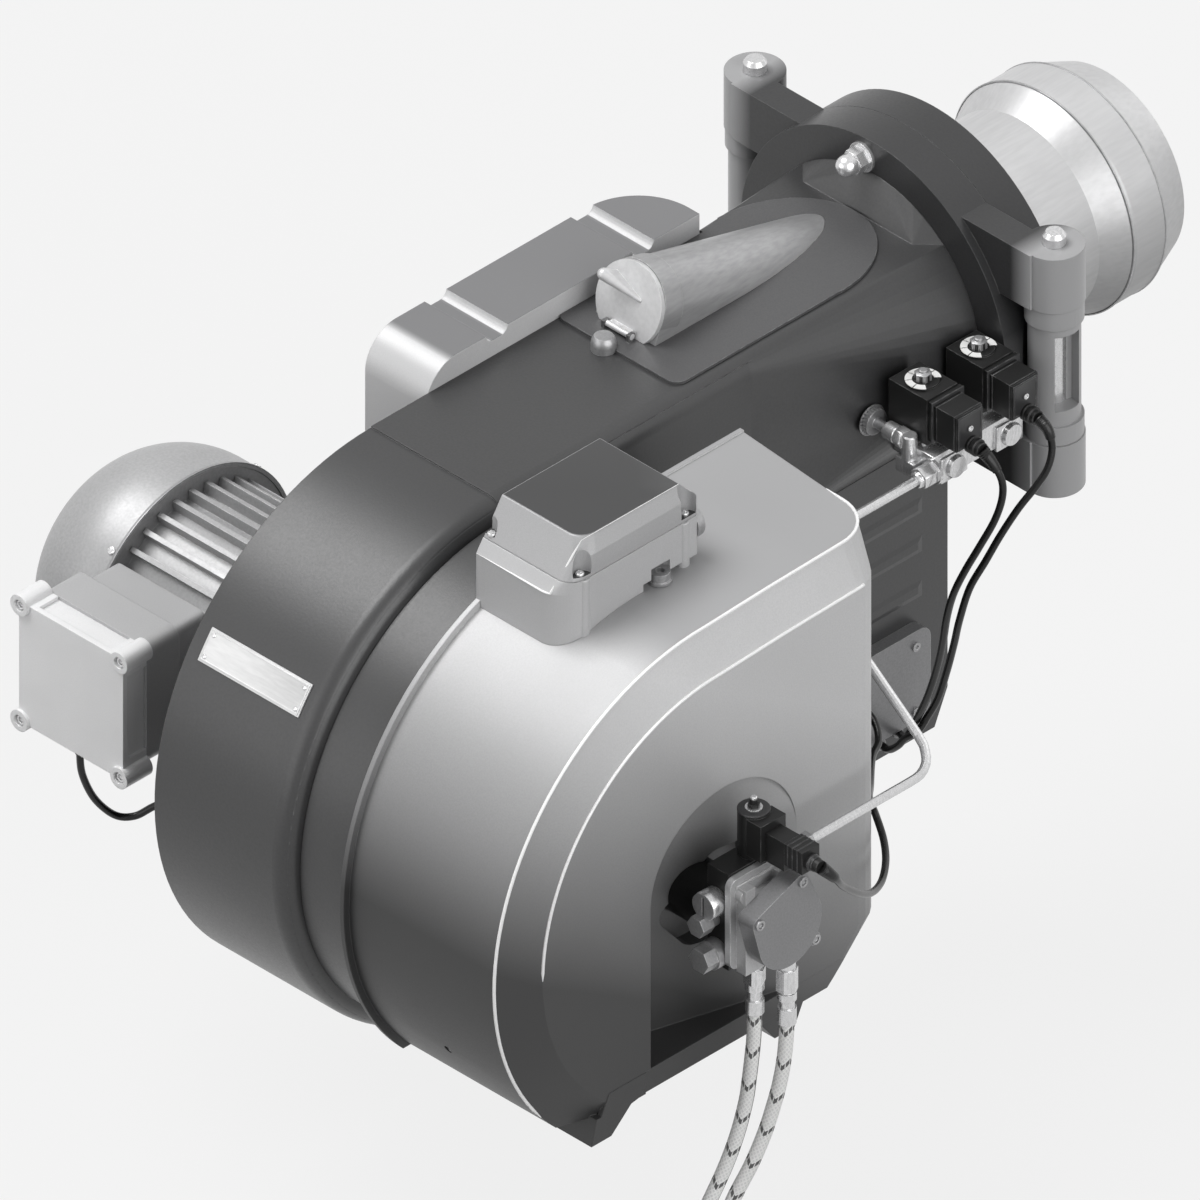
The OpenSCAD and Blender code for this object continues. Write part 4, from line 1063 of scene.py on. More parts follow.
@dataclass
class Studio:
    """The plain studio: camera, lamps, floor and background.

    Attributes:
        azimuth: Where the camera stands round the burner, degrees.
        elevation: How high it stands, degrees.
        width: Width of the picture at the burner, metres.
        aim: The point in the middle of the picture.
        distance: Distance from that point to the camera, metres.
        floor_z: Height of the floor, metres.
        floor_size: Width of the floor, metres.
        pale: Brightness of the background.
        room: Strength of the room's soft light.
        floor_glow: Brightness of the floor where it is seen.
    """

    azimuth: float = 45.0
    elevation: float = 35.264
    width: float = 1.085
    aim: Triple = (0.1617, -0.5903, 0.0)
    distance: float = 4.0
    floor_z: float = -0.645
    floor_size: float = 14.0
    pale: float = 0.896
    room: float = 0.14
    floor_glow: float = 0.835

    def camera(self) -> None:
        """Sets up the camera at the photograph's angle."""
        a, e = math.radians(self.azimuth), math.radians(self.elevation)
        back = Vector((math.sin(a) * math.cos(e), -math.cos(a) * math.cos(e), math.sin(e)))
        data = bpy.data.cameras.new("picture")
        data.type = "ORTHO"
        data.ortho_scale = self.width
        data.clip_end = 30.0
        obj = enter("picture", data)
        obj.location = Vector(self.aim) + back * self.distance
        obj.rotation_euler = (-back).to_track_quat("-Z", "Y").to_euler()
        bpy.context.scene.camera = obj

    def lamps(self) -> None:
        """Hangs the soft key, a fill from the right, and weak front and rim lamps."""
        for name, back, strength, spread in (
            ("key", (-0.45, -0.25, 1.0), 2.4, 38.0),
            ("fill", (1.0, -0.1, 0.35), 2.0, 60.0),
            ("front", (-0.3, -1.0, 0.2), 0.75, 50.0),
            ("rim", (0.0, 1.0, 0.5), 0.4, 50.0),
        ):
            data = bpy.data.lights.new(name, "SUN")
            data.energy = strength
            data.angle = math.radians(spread)
            obj = enter(name, data)
            obj.rotation_euler = (-Vector(back)).to_track_quat("-Z", "Y").to_euler()

    def seen(self, tree: bpy.types.NodeTree) -> bpy.types.NodeSocket:
        """Wires a switch that is one for what is seen, mirrored or looked through.

        Args:
            tree: The tree of nodes that gets the switch.

        Returns:
            The switch.
        """
        path = tree.nodes.new("ShaderNodeLightPath")
        switch = path.outputs["Is Camera Ray"]
        for ray in ("Is Glossy Ray", "Is Transmission Ray"):
            either = tree.nodes.new("ShaderNodeMath")
            either.operation = "MAXIMUM"
            tree.links.new(switch, either.inputs[0])
            tree.links.new(path.outputs[ray], either.inputs[1])
            switch = either.outputs[0]
        return switch

    def background(self) -> None:
        """Makes the pale background and the soft light of the room."""
        world = bpy.data.worlds.new("room")
        bpy.context.scene.world = world
        world.use_nodes = True
        tree = world.node_tree
        tree.nodes.clear()
        out = tree.nodes.new("ShaderNodeOutputWorld")
        light = tree.nodes.new("ShaderNodeBackground")
        light.inputs["Color"].default_value = (1, 1, 1, 1)
        light.inputs["Strength"].default_value = self.room
        shown = tree.nodes.new("ShaderNodeBackground")
        shown.inputs["Color"].default_value = (self.pale, self.pale, self.pale, 1)
        mix = tree.nodes.new("ShaderNodeMixShader")
        tree.links.new(self.seen(tree), mix.inputs[0])
        tree.links.new(light.outputs[0], mix.inputs[1])
        tree.links.new(shown.outputs[0], mix.inputs[2])
        tree.links.new(mix.outputs[0], out.inputs["Surface"])

    def floor(self) -> None:
        """Lays the pale floor, which keeps the burner's shadow."""
        put_down()
        bpy.ops.mesh.primitive_plane_add(size=self.floor_size, location=(0, -0.4, self.floor_z))
        slab = settle(bpy.context.object)
        slab.name = "floor"
        board = Board("floor_pale")
        board.surface.inputs["Base Color"].default_value = (0.12, 0.12, 0.12, 1)
        board.surface.inputs["Roughness"].default_value = 0.9
        board.surface.inputs["Specular IOR Level"].default_value = 0.0
        seen = self.seen(board.tree)
        diffuse = board.add("ShaderNodeBsdfDiffuse")
        diffuse.inputs["Color"].default_value = (0.06, 0.06, 0.06, 1)
        glow = board.add("ShaderNodeEmission")
        glow.inputs["Color"].default_value = (1, 1, 1, 1)
        glow.inputs["Strength"].default_value = self.floor_glow
        both = board.add("ShaderNodeAddShader")
        board.wire(diffuse.outputs[0], both.inputs[0])
        board.wire(glow.outputs[0], both.inputs[1])
        mix = board.add("ShaderNodeMixShader")
        board.wire(seen, mix.inputs[0])
        board.wire(board.surface.outputs[0], mix.inputs[1])
        board.wire(both.outputs[0], mix.inputs[2])
        out = next(n for n in board.tree.nodes if n.type == "OUTPUT_MATERIAL")
        board.wire(mix.outputs[0], out.inputs["Surface"])
        slab.data.materials.append(board.material)
        LOG.info("floor laid at %.3f", self.floor_z)


# Cords


def coil_turns(z: float, end: int) -> list[Triple]:
    """Gives the points of a hose's coil.

    Args:
        z: Height at which the coil starts, mm.
        end: Angle at which it ends, degrees.

    Returns:
        The points, mm.
    """
    x, y, radius, pitch = 305, -770, 75, 31
    turns = [(a, math.radians(a)) for a in range(0, end + 1, 20)]
    return [(x + radius * math.cos(t), y - radius * math.sin(t), z - pitch * a / 360) for a, t in turns]


@dataclass
class Hoses:
    """The supply and return hoses below the oil pump.

    Attributes:
        radius: Radius of a hose, mm.
        supply: Route of the supply hose, mm.
        back: Route of the return hose, mm.
    """

    radius: float = 7.0
    supply: tuple[Triple, ...] = (
        (414, -645, -302.1), (413, -644.7, -329.6), (412, -646.5, -353.9), (410.5, -648.5, -378.5),
        (409, -650.7, -399.8), (405, -657.2, -434), (400, -667.5, -468), (394, -682, -502.4),
        (390, -705, -540), (384, -737, -568), *coil_turns(-578, 540),
    )
    back: tuple[Triple, ...] = (
        (430, -619.5, -318.1), (430, -620.3, -333.3), (429.5, -622.6, -357.1), (428, -626, -380.5),
        (426, -630.6, -401.4), (421, -638.6, -435.3), (415, -650.5, -468.9), (407, -665.6, -504.1),
        (404, -685, -545), (396, -722, -580), (385, -752, -592), *coil_turns(-593.5, 500),
    )

    def lay(self, name: str, route: Sequence[Triple]) -> None:
        """Lays one braided hose in place of its CAD node, which it hides.

        Args:
            name: Name of the hose's CAD node.
            route: Its route, mm.
        """
        points = metres(route)
        line = smooth_line(points, 5)
        radius = self.radius * MM
        hose = sheath(f"{name}_braided", line, [radius * 0.985] * len(line), 20)
        hand_over([hose], f"{name}_braided", Body.HOUSING, BRAID, 60)
        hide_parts(name)

    def build(self) -> None:
        """Lays both hoses."""
        self.lay("supply_hose", self.supply)
        self.lay("return_hose", self.back)


@dataclass
class Cables:
    """The black leads of the motor, the valves and the pump coil.

    Attributes:
        radius: Radius of a lead, mm.
        boot_length: Length of the tapered boot where a lead leaves its plug, mm.
        boot_radius: Radius of the boot at its thick end, mm.
        taper: How much its radius shrinks to its thin end, mm.
        rib: Height of its ribs, mm.
    """

    radius: float = 3.5
    boot_length: float = 24.0
    boot_radius: float = 6.2
    taper: float = 2.1
    rib: float = 0.55

    def routes(self) -> dict[str, tuple[Triple, ...]]:
        """Gives the route of each lead by its CAD node's name, mm."""
        return {
            "motor_cable": (
                (-274, -819.6, -249.6), (-274, -819.6, -276), (-274, -815.8, -300),
                (-270, -804.4, -329.2), (-262, -786.8, -351.7), (-250, -773.3, -353.5),
                (-236, -761.7, -341.2), (-220, -750, -332), (-190, -735, -327), (-150, -710, -332),
                (-115, -660, -352), (-98, -590, -350), (-92, -530, -310), (-92, -480, -240),
                (-98, -450, -160), (-108, -440, -110), (-114, -440, -70.2),
            ),
            "valve_cable_a": (
                (232.2, -172, -8), (243, -167.6, -21.8), (249, -163.6, -38.2), (250, -164.6, -56.9),
                (246, -170.6, -80.6), (236, -180.5, -110.4), (226, -187.6, -136.5), (215, -191, -165.1),
                (204, -188.5, -196.6), (192, -182.3, -236.4), (179, -176.6, -273.7),
                (164, -173.3, -313.4), (148, -170.5, -347), (134, -166.9, -372.3), (122, -160, -388),
                (103.3, -150, -396),
            ),
            "valve_cable_b": (
                (232.2, -101, -8), (243, -99, -16.6), (248, -98.4, -34.2), (249, -105, -52.7),
                (245, -115.3, -69.2), (237, -130.1, -90.5), (228, -144, -117.8), (219, -154.9, -146.5),
                (209, -165, -176.1), (198, -166.9, -215.7), (188, -163.6, -247.8), (176, -160.4, -284.6),
                (163, -159.2, -323.4), (154, -164.7, -346.9), (150, -172.5, -360.2), (140, -178, -370),
                (132, -179.6, -381.5), (119, -178.2, -393.1), (103.3, -172, -399),
            ),
            "pump_cable": (
                (492.2, -638, -107), (496, -624, -124), (480, -597.5, -154.2), (455, -552.6, -196.6),
                (430, -511.8, -229.4), (405, -473.9, -248.5), (385, -448.3, -249), (365, -431.1, -242.9),
                (345, -421.1, -230.7), (318, -402, -236), (285, -368, -255), (250, -330.6, -260.4),
                (235, -307.3, -259.8), (215, -295.6, -250.9), (180, -293, -243), (140, -298, -236),
                (103.3, -300, -234),
            ),
        }

    def boot(self, name: str, line: Sequence[Vector]) -> bpy.types.Object:
        """Makes the ribbed, tapered boot at the start of a lead.

        Args:
            name: Name of the lead.
            line: The lead's smooth line.

        Returns:
            The boot.
        """
        points, radii, run = [line[0]], [self.boot_radius * MM], 0.0
        for a, b in zip(line, line[1:]):
            step = (b - a).length
            for part in (0.5, 1.0):
                share = (run + step * part) / (self.boot_length * MM)
                if share > 1:
                    break
                rib = self.rib if len(points) % 2 else 0.0
                points.append(a.lerp(b, part))
                radii.append((self.boot_radius - self.taper * share + rib) * MM)
            run += step
        boot = sheath(f"{name}_boot", points, radii, 20)
        return hand_over([boot], f"{name}_boot", Body.HOUSING, CABLE_BLACK, 50)

    def build(self) -> None:
        """Lays every lead with its boot."""
        for name, route in self.routes().items():
            points = metres(route)
            line = smooth_line(points, 8)
            lead = sheath(f"{name}_lead", line, [self.radius * MM] * len(line), 16)
            hand_over([lead], f"{name}_lead", Body.HOUSING, CABLE_BLACK, 60)
            boot = self.boot(name, line)
            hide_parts(name)


# Sub-assemblies


@dataclass
class FlameTube:
    """The welded seams of the flame tube.

    Attributes:
        seams: Radius and place of each seam, mm.
    """

    seams: tuple[Pair, ...] = ((116.2, 138.5), (116.2, 179.0), (100.4, 2.2))

    def build(self) -> None:
        """Rolls the seams."""
        parts = []
        for radius, y in self.seams:
            low, high = radius - 0.8, radius + 0.5
            bulge = closed([(low, y - 1.3), (high, y - 0.6), (high, y + 0.6), (low, y + 1.3)])
            parts.append(lathe(Axis.Y, bulge, (0, 0), 96))
        hand_over(parts, "flame_tube_seams", Body.BASE, DULL_STEEL, 60)


@dataclass
class ScrollTrim:
    """The blank plate's border and rivets on the fan scroll.

    Attributes:
        centre: Centre of the scroll (Y, Z), mm.
        radius: Radius of the plate's face, mm.
        tilt: Turn of the plate round the scroll, degrees.
        left: Left edge of the plate (X), mm.
        right: Right edge of the plate (X), mm.
        half: Half the plate's height, mm.
        margin: Distance from the plate's edge to the border, mm.
        inset: Distance from the plate's edge to the rivets, mm.
    """

    centre: Pair = (-SHAFT_AHEAD, -176.6)
    radius: float = 278.4
    tilt: float = -35.0
    left: float = -60.0
    right: float = 68.0
    half: float = 16.5
    margin: float = 1.5
    inset: float = 6.0

    def build(self) -> None:
        """Makes the border and its four rivets."""
        face = -(self.radius + 0.5)
        seat = shift(0, *self.centre) @ Matrix.Rotation(math.radians(self.tilt), 4, "X")
        border = block(
            (self.left + self.margin, face, -self.half + self.margin),
            (self.right - self.margin, -self.radius + 0.6, self.half - self.margin),
        )
        sink(border, lambda c, n: n.y < -0.9, 1.6, 0.35)
        soften(border, 0.25)
        head = [(0, face - 1.2), (1.5, face - 0.9), (2.3, face), (2.3, face + 1.0)]
        rows = (-self.half + self.inset, self.half - self.inset)
        spots = [shift(x, 0, z) for x in (self.left + self.inset, self.right - self.inset) for z in rows]
        rivets = repeat(lathe(Axis.Y, head, (0, 0), 20), spots)
        for piece in (border, *rivets):
            place(piece, seat)
        hand_over([border], "blank_plate_border", Body.HOUSING, PLATE_STEEL)
        hand_over(rivets, "blank_plate_rivets", Body.HOUSING, BRIGHT_STEEL)


@dataclass
class CowlTrim:
    """Painted highlights along the pressed creases of the air inlet cowl, laid as bright beads.

    Attributes:
        centre: Centre of the round part (Y, Z), mm.
        outer: Radius of the outer crease, mm.
        inner: Radius of the inner crease, mm.
        outer_x: Place of the outer crease, mm.
        inner_x: Place of the inner crease, mm.
        wire: Radius of the bead that carries the painted highlight, mm.
    """

    centre: Pair = (-SHAFT_AHEAD, -176.6)
    outer: float = 269.0
    inner: float = 227.0
    outer_x: float = 351.0
    inner_x: float = 371.0
    wire: float = 1.6

    def sweep(self, radius: float, x: float, end: float) -> list[Vector]:
        """Gives the round part of a crease.

        Args:
            radius: Its radius, mm.
            x: Its place along the shaft, mm.
            end: The angle at which it ends, degrees.

        Returns:
            Its points from the top down, metres.
        """
        y, z = self.centre
        steps = 40
        angles = [math.radians(90 + (end - 90) * i / steps) for i in range(steps + 1)]
        return metres((x, y + radius * math.cos(a), z + radius * math.sin(a)) for a in angles)

    def corner(self, x: float, y: float, r: float, z: float, start: int) -> list[Vector]:
        """Gives the round corner of a crease towards the boiler.

        Args:
            x: Outer face of the corner, mm.
            y: Place of the corner's centre, mm.
            r: Its radius, mm.
            z: Its height, mm.
            start: The angle at which it starts, degrees.

        Returns:
            Its points, metres.
        """
        angles = [math.radians(start * (1 - i / 10)) for i in range(11)]
        return metres((x - r + r * math.cos(a), y + r * math.sin(a), z) for a in angles)

    def build(self) -> None:
        """Lays the painted highlights along the two creases."""
        outer = [
            *metres([(281, -420.2, 98)]),
            *self.corner(self.outer_x, -470, 48, 98, 90),
            *metres([(self.outer_x, -560, 95.9)]),
            *self.sweep(self.outer, self.outer_x, 219),
        ]
        inner = [
            *self.corner(self.inner_x, -469, 39, 57, 12),
            *metres([(self.inner_x, -560, 54.5)]),
            *self.sweep(self.inner, self.inner_x, 180),
        ]
        # Painted highlight: bright beads laid along the creases.
        parts = [bead("crease", line, self.wire) for line in (outer, inner)]
        hand_over(parts, "cowl_crease_highlights", Body.HOUSING, PAINTED_HIGHLIGHT, 60)


@dataclass
class ServoTrim:
    """The lid, painted edge highlights, posts and screws of the damper servo's box.

    Attributes:
        left: Face of the box towards the motor (X), mm.
        right: Face of the box towards the pump (X), mm.
        front: Front face of the box (Y), mm.
        rear: Rear face of the box (Y), mm.
        corner: Radius of the box's corner, mm.
        seam: Height at which the box's slope starts, mm.
        lip: Front face of the lid (Y), mm.
        foot: Height of the lid's underside, mm.
        brow: Height at which the lid's upper slope starts, mm.
        top: Height of the lid, mm.
        ridge: Place of the painted highlight on top of the lid (X), mm.
        bead: Radius of the painted edge highlights, mm.
        brow_share: Share of the lid's depth that is left at the brow.
        top_shares: Shares of the lid's width and depth there that are left at its top.
        top_pivot: Place that the top's depth shrinks towards (Y), mm.
        rounding: Radius of the lid's front corner, mm.
        pocket: Radius of the pockets for the screws, mm.
        pockets: Axes of the pockets (X, Y), mm.
    """

    left: float = 160.6
    right: float = 273.0
    front: float = -747.5
    rear: float = -577.5
    corner: float = 30.0
    seam: float = 130.0
    lip: float = -738.8
    foot: float = 143.1
    brow: float = 166.0
    top: float = 179.0
    ridge: float = 262.7
    bead: float = 1.1
    brow_share: float = 0.905
    top_shares: Pair = (0.9066, 0.856)
    top_pivot: float = -664.1
    rounding: float = 16.0
    pocket: float = 9.5
    pockets: tuple[Pair, ...] = ((271.5, -722), (271.5, -588), (163, -736))

    def build(self) -> None:
        """Makes the lid, painted edge highlights, posts and screws."""
        self.lid()
        self.edges()
        post = [(0, 142.8), (5.6, 142.8), (6.2, 142.0), (6.2, 62.0), (0, 62.0)]
        posts = [lathe(Axis.Z, post, (269.2, y), 24) for y in (-719.0, -592.0)]
        hand_over(posts, "servo_posts", Body.HOUSING, BOX_GREY)
        spots = [(267.5, -722, 147), (267.5, -588, 147), (167, -734, 147)]
        screws = Screw(4.2, 3.0, 3.0, slotted=True).fit(Axis.Z, spots)
        hand_over(screws, "servo_screws", Body.HOUSING, BRIGHT_STEEL)

    def edges(self) -> None:
        """Lays the two painted highlights along the lid's edges."""
        x, y = self.right - self.corner, self.front + self.corner
        reach, level = self.corner + 0.3, self.seam + 0.4
        turn = [math.radians(a) for a in range(-90, -69, 5)]
        rim = metres((x + reach * math.cos(a), y + reach * math.sin(a), level) for a in turn)
        rise = metres([
            (254.6, -736.4, 143.4), (257.6, -730.4, 153.0), (260.4, -723.8, self.brow),
            (self.ridge, -715.1, self.top + 0.2),
        ])
        line = [*metres([(self.left + 1, self.front - 0.2, level)]), *rim, *rise]
        ridge = [rise[-1], *metres([(self.ridge, self.rear - 13.5, self.top + 0.2)])]
        # Painted highlight: bright beads laid along the lid's edges.
        edges = [bead("edge", line, self.bead), bead("edge", ridge, self.bead)]
        hand_over(edges, "servo_edge_highlights", Body.HOUSING, PAINTED_HIGHLIGHT, 60)

    def lid(self) -> None:
        """Shapes the sloping lid, with pockets for its screws."""
        lid = block((self.left, self.lip, self.foot), (self.right, self.rear, self.brow))
        pick(lid, lambda c, n: n.z > 0.9)
        rear = (0, self.rear * MM, 0)
        bpy.ops.transform.resize(value=(1, self.brow_share, 1), center_override=rear)
        rise = (0, 0, (self.top - self.brow) * MM)
        bpy.ops.mesh.extrude_region_move(TRANSFORM_OT_translate={"value": rise})
        pivot = (self.left * MM, self.top_pivot * MM, 0)
        bpy.ops.transform.resize(value=(*self.top_shares, 1), center_override=pivot)
        put_down()
        self.round_corner(lid)
        soften(lid, 1.2)
        for spot in self.pockets:
            cutter = rod(Axis.Z, self.pocket, (147, 200), spot, 32)
            take(lid)
            pocket = lid.modifiers.new("pocket", "BOOLEAN")
            pocket.operation = "DIFFERENCE"
            pocket.solver = "EXACT"
            pocket.object = cutter
            bpy.ops.object.modifier_apply(modifier=pocket.name)
            bpy.data.objects.remove(cutter, do_unlink=True)
        piece = hand_over([lid], "servo_lid_shaped", Body.HOUSING, LID_GREY, 12)
        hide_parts("servo_lid")

    def round_corner(self, lid: bpy.types.Object) -> None:
        """Rounds the lid's front corner towards the pump.

        Args:
            lid: The lid, with sharp corners.
        """
        take(lid)
        bpy.ops.object.mode_set(mode="EDIT")
        bpy.ops.mesh.select_mode(type="EDGE")
        bpy.ops.mesh.select_all(action="DESELECT")
        bpy.ops.object.mode_set(mode="OBJECT")
        for edge in lid.data.edges:
            a, b = (lid.data.vertices[v].co for v in edge.vertices)
            corner = min(a.x, b.x) > 0.262 and max(a.y, b.y) < -0.714
            edge.select = corner and abs(a.z - b.z) > 0.01
        bpy.ops.object.mode_set(mode="EDIT")
        bpy.ops.mesh.bevel(offset=self.rounding * MM, segments=6, affect="EDGES")
        put_down()


@dataclass
class MotorTrim:
    """Screws of the terminal box, and the screws, guard and band of the motor.

    Attributes:
        lid: Centre of the terminal lid (X, Z), mm.
        spacing: Half the distance between its screws, mm.
        seat: Place of the screws' seats (Y), mm.
        axis: The motor's axis (Y, Z), mm.
        dome_end: Place of the cowl's end face (X), mm.
        dome: Radius of the cowl's round shoulder, mm.
        flat: Radius of its flat end, mm.
        guards: Radii of the guard rings, mm.
        screw_x: Place of the cowl's screws (X), mm.
        screw_r: Radius at which they are seated, mm.
    """

    lid: Pair = (-245.0, -169.0)
    spacing: float = 63.7
    seat: float = -857.0
    axis: Pair = (-SHAFT_AHEAD, -202.0)
    dome_end: float = -433.0
    dome: float = 100.0
    flat: float = 31.5
    guards: Triple = (20, 42, 64)
    screw_x: float = -314.0
    screw_r: float = 131.2

    def guard(self, r: float) -> bpy.types.Object:
        """Makes one ring of the guard, seated on the cowl's end.

        Args:
            r: Its mean radius, mm.

        Returns:
            The ring.
        """
        x = self.dome_end + self.dome - math.sqrt(self.dome**2 - max(0.0, r - self.flat) ** 2)
        wire = closed([(r - 2, x + 0.6), (r + 2, x + 0.6), (r + 1.2, x - 1.9), (r - 1.2, x - 1.9)])
        return lathe(Axis.X, wire, self.axis, 64)

    def build(self) -> None:
        """Makes the screws, the band and the guard rings."""
        x, z = self.lid
        spots = [(x + i * self.spacing, self.seat, z + j * self.spacing) for i in (-1, 1) for j in (-1, 1)]
        screws = Screw(5.0, 4.0, 2.9).fit(Axis.Y, spots, flip=True)
        hand_over(screws, "terminal_screws", Body.HOUSING, BRIGHT_STEEL)
        band = closed([(131.3, -309.5), (132.3, -309.5), (132.8, -309), (132.8, -306.4), (131.3, -306.4)])
        strap = lathe(Axis.X, band, self.axis, 96)
        hand_over([strap], "motor_band", Body.HOUSING, DULL_STEEL, 50)
        rings = [self.guard(r) for r in self.guards]
        hand_over(rings, "motor_guard_rings", Body.HOUSING, MOTOR_SILVER, 50)
        screws = []
        for angle in (45, 135, 225, 315):
            turn = Matrix.Rotation(math.radians(angle), 4, "X")
            seat = shift(self.screw_x, *self.axis) @ turn @ shift(0, 0, self.screw_r)
            screws.append(place(Screw(4.2, 2.6, 2.4, slotted=True).make(), seat))
        hand_over(screws, "motor_cowl_screws", Body.HOUSING, BRIGHT_STEEL)


@dataclass
class PumpTrim:
    """Rings, stud, ribs, bosses and screws of the oil pump.

    Attributes:
        coil: Axis of the coil (X, Y), mm.
        lead: Axis of the plug's neck (Y, Z), mm.
        ribs: Places of the plug's ribs (X), mm.
        bosses: Axes of the two bosses (Y, Z), mm.
        bolts: Places of the screws' heads, mm.
        regulator: Axis of the pressure regulator (X, Z), mm.
    """

    coil: Pair = (408, -640)
    lead: Pair = (-638, -107)
    ribs: Triple = (460.0, 466.0, 472.0)
    bosses: tuple[Pair, ...] = ((-612, -226), (-612, -150))
    bolts: tuple[Triple, ...] = (
        (438, -612, -226), (433.6, -674.7, -149.7), (433.6, -672.2, -224),
        (457.4, -683, -165.5), (457.4, -628, -145), (451.6, -606, -222),
    )
    regulator: Pair = (404, -164)

    def electric(self) -> None:
        """Makes the coil's ring and stud, and the ribs and neck of its plug."""
        gasket = closed([(6.8, -83.2), (15.3, -83.2), (15.3, -81.9), (14.2, -81.4), (6.8, -81.4)])
        top = lathe(Axis.Z, gasket, self.coil, 48)
        hand_over([top], "pump_coil_ring", Body.HOUSING, GREY_PLASTIC, 40)
        stud = [(0, -72.2), (3.2, -72.2), (3.2, -70.0), (2.4, -69.2), (0, -69.2)]
        nut = lathe(Axis.Z, stud, self.coil, 24)
        washer = lathe(Axis.Z, disc(8.2, -81.5, -80.2), self.coil, 32)
        hand_over([nut, washer], "pump_coil_stud", Body.HOUSING, BRIGHT_STEEL)
        ribs = [soften(block((x, -650.0, -117.6), (x + 1.6, -626.4, -92.4)), 0.5) for x in self.ribs]
        collar = [(0, 479), (8.4, 479), (8.4, 482), (7.2, 483), (7.2, 486), (0, 486)]
        neck = lathe(Axis.X, collar, self.lead, 24)
        hand_over([*ribs, neck], "pump_plug_ribs", Body.HOUSING, GREY_PLASTIC)

    def build(self) -> None:
        """Makes the pump's small ware."""
        self.electric()
        web = soften(block((425.0, -681.0, -160.0), (427.4, -603.6, -139.6)), 0.6)
        boss = [(0, 438), (6.6, 438), (7.4, 436), (7.4, 425.5), (0, 425.5)]
        bosses = [lathe(Axis.X, boss, spot, 24) for spot in self.bosses]
        hand_over([web, *bosses], "pump_bosses", Body.HOUSING, PUMP_ALLOY)
        heads = Screw(5.2, 3.4, 2.9).fit(Axis.X, self.bolts)
        hand_over(heads, "pump_screws", Body.HOUSING, DULL_STEEL)
        hoop = closed([
            (13.7, -700.4), (14.3, -698.5), (14.3, -686), (13.7, -684.6), (13.4, -684.6), (13.4, -700.4),
        ])
        band = lathe(Axis.Y, hoop, self.regulator, 48)
        hand_over([band], "regulator_band", Body.HOUSING, BRIGHT_STEEL, 50)


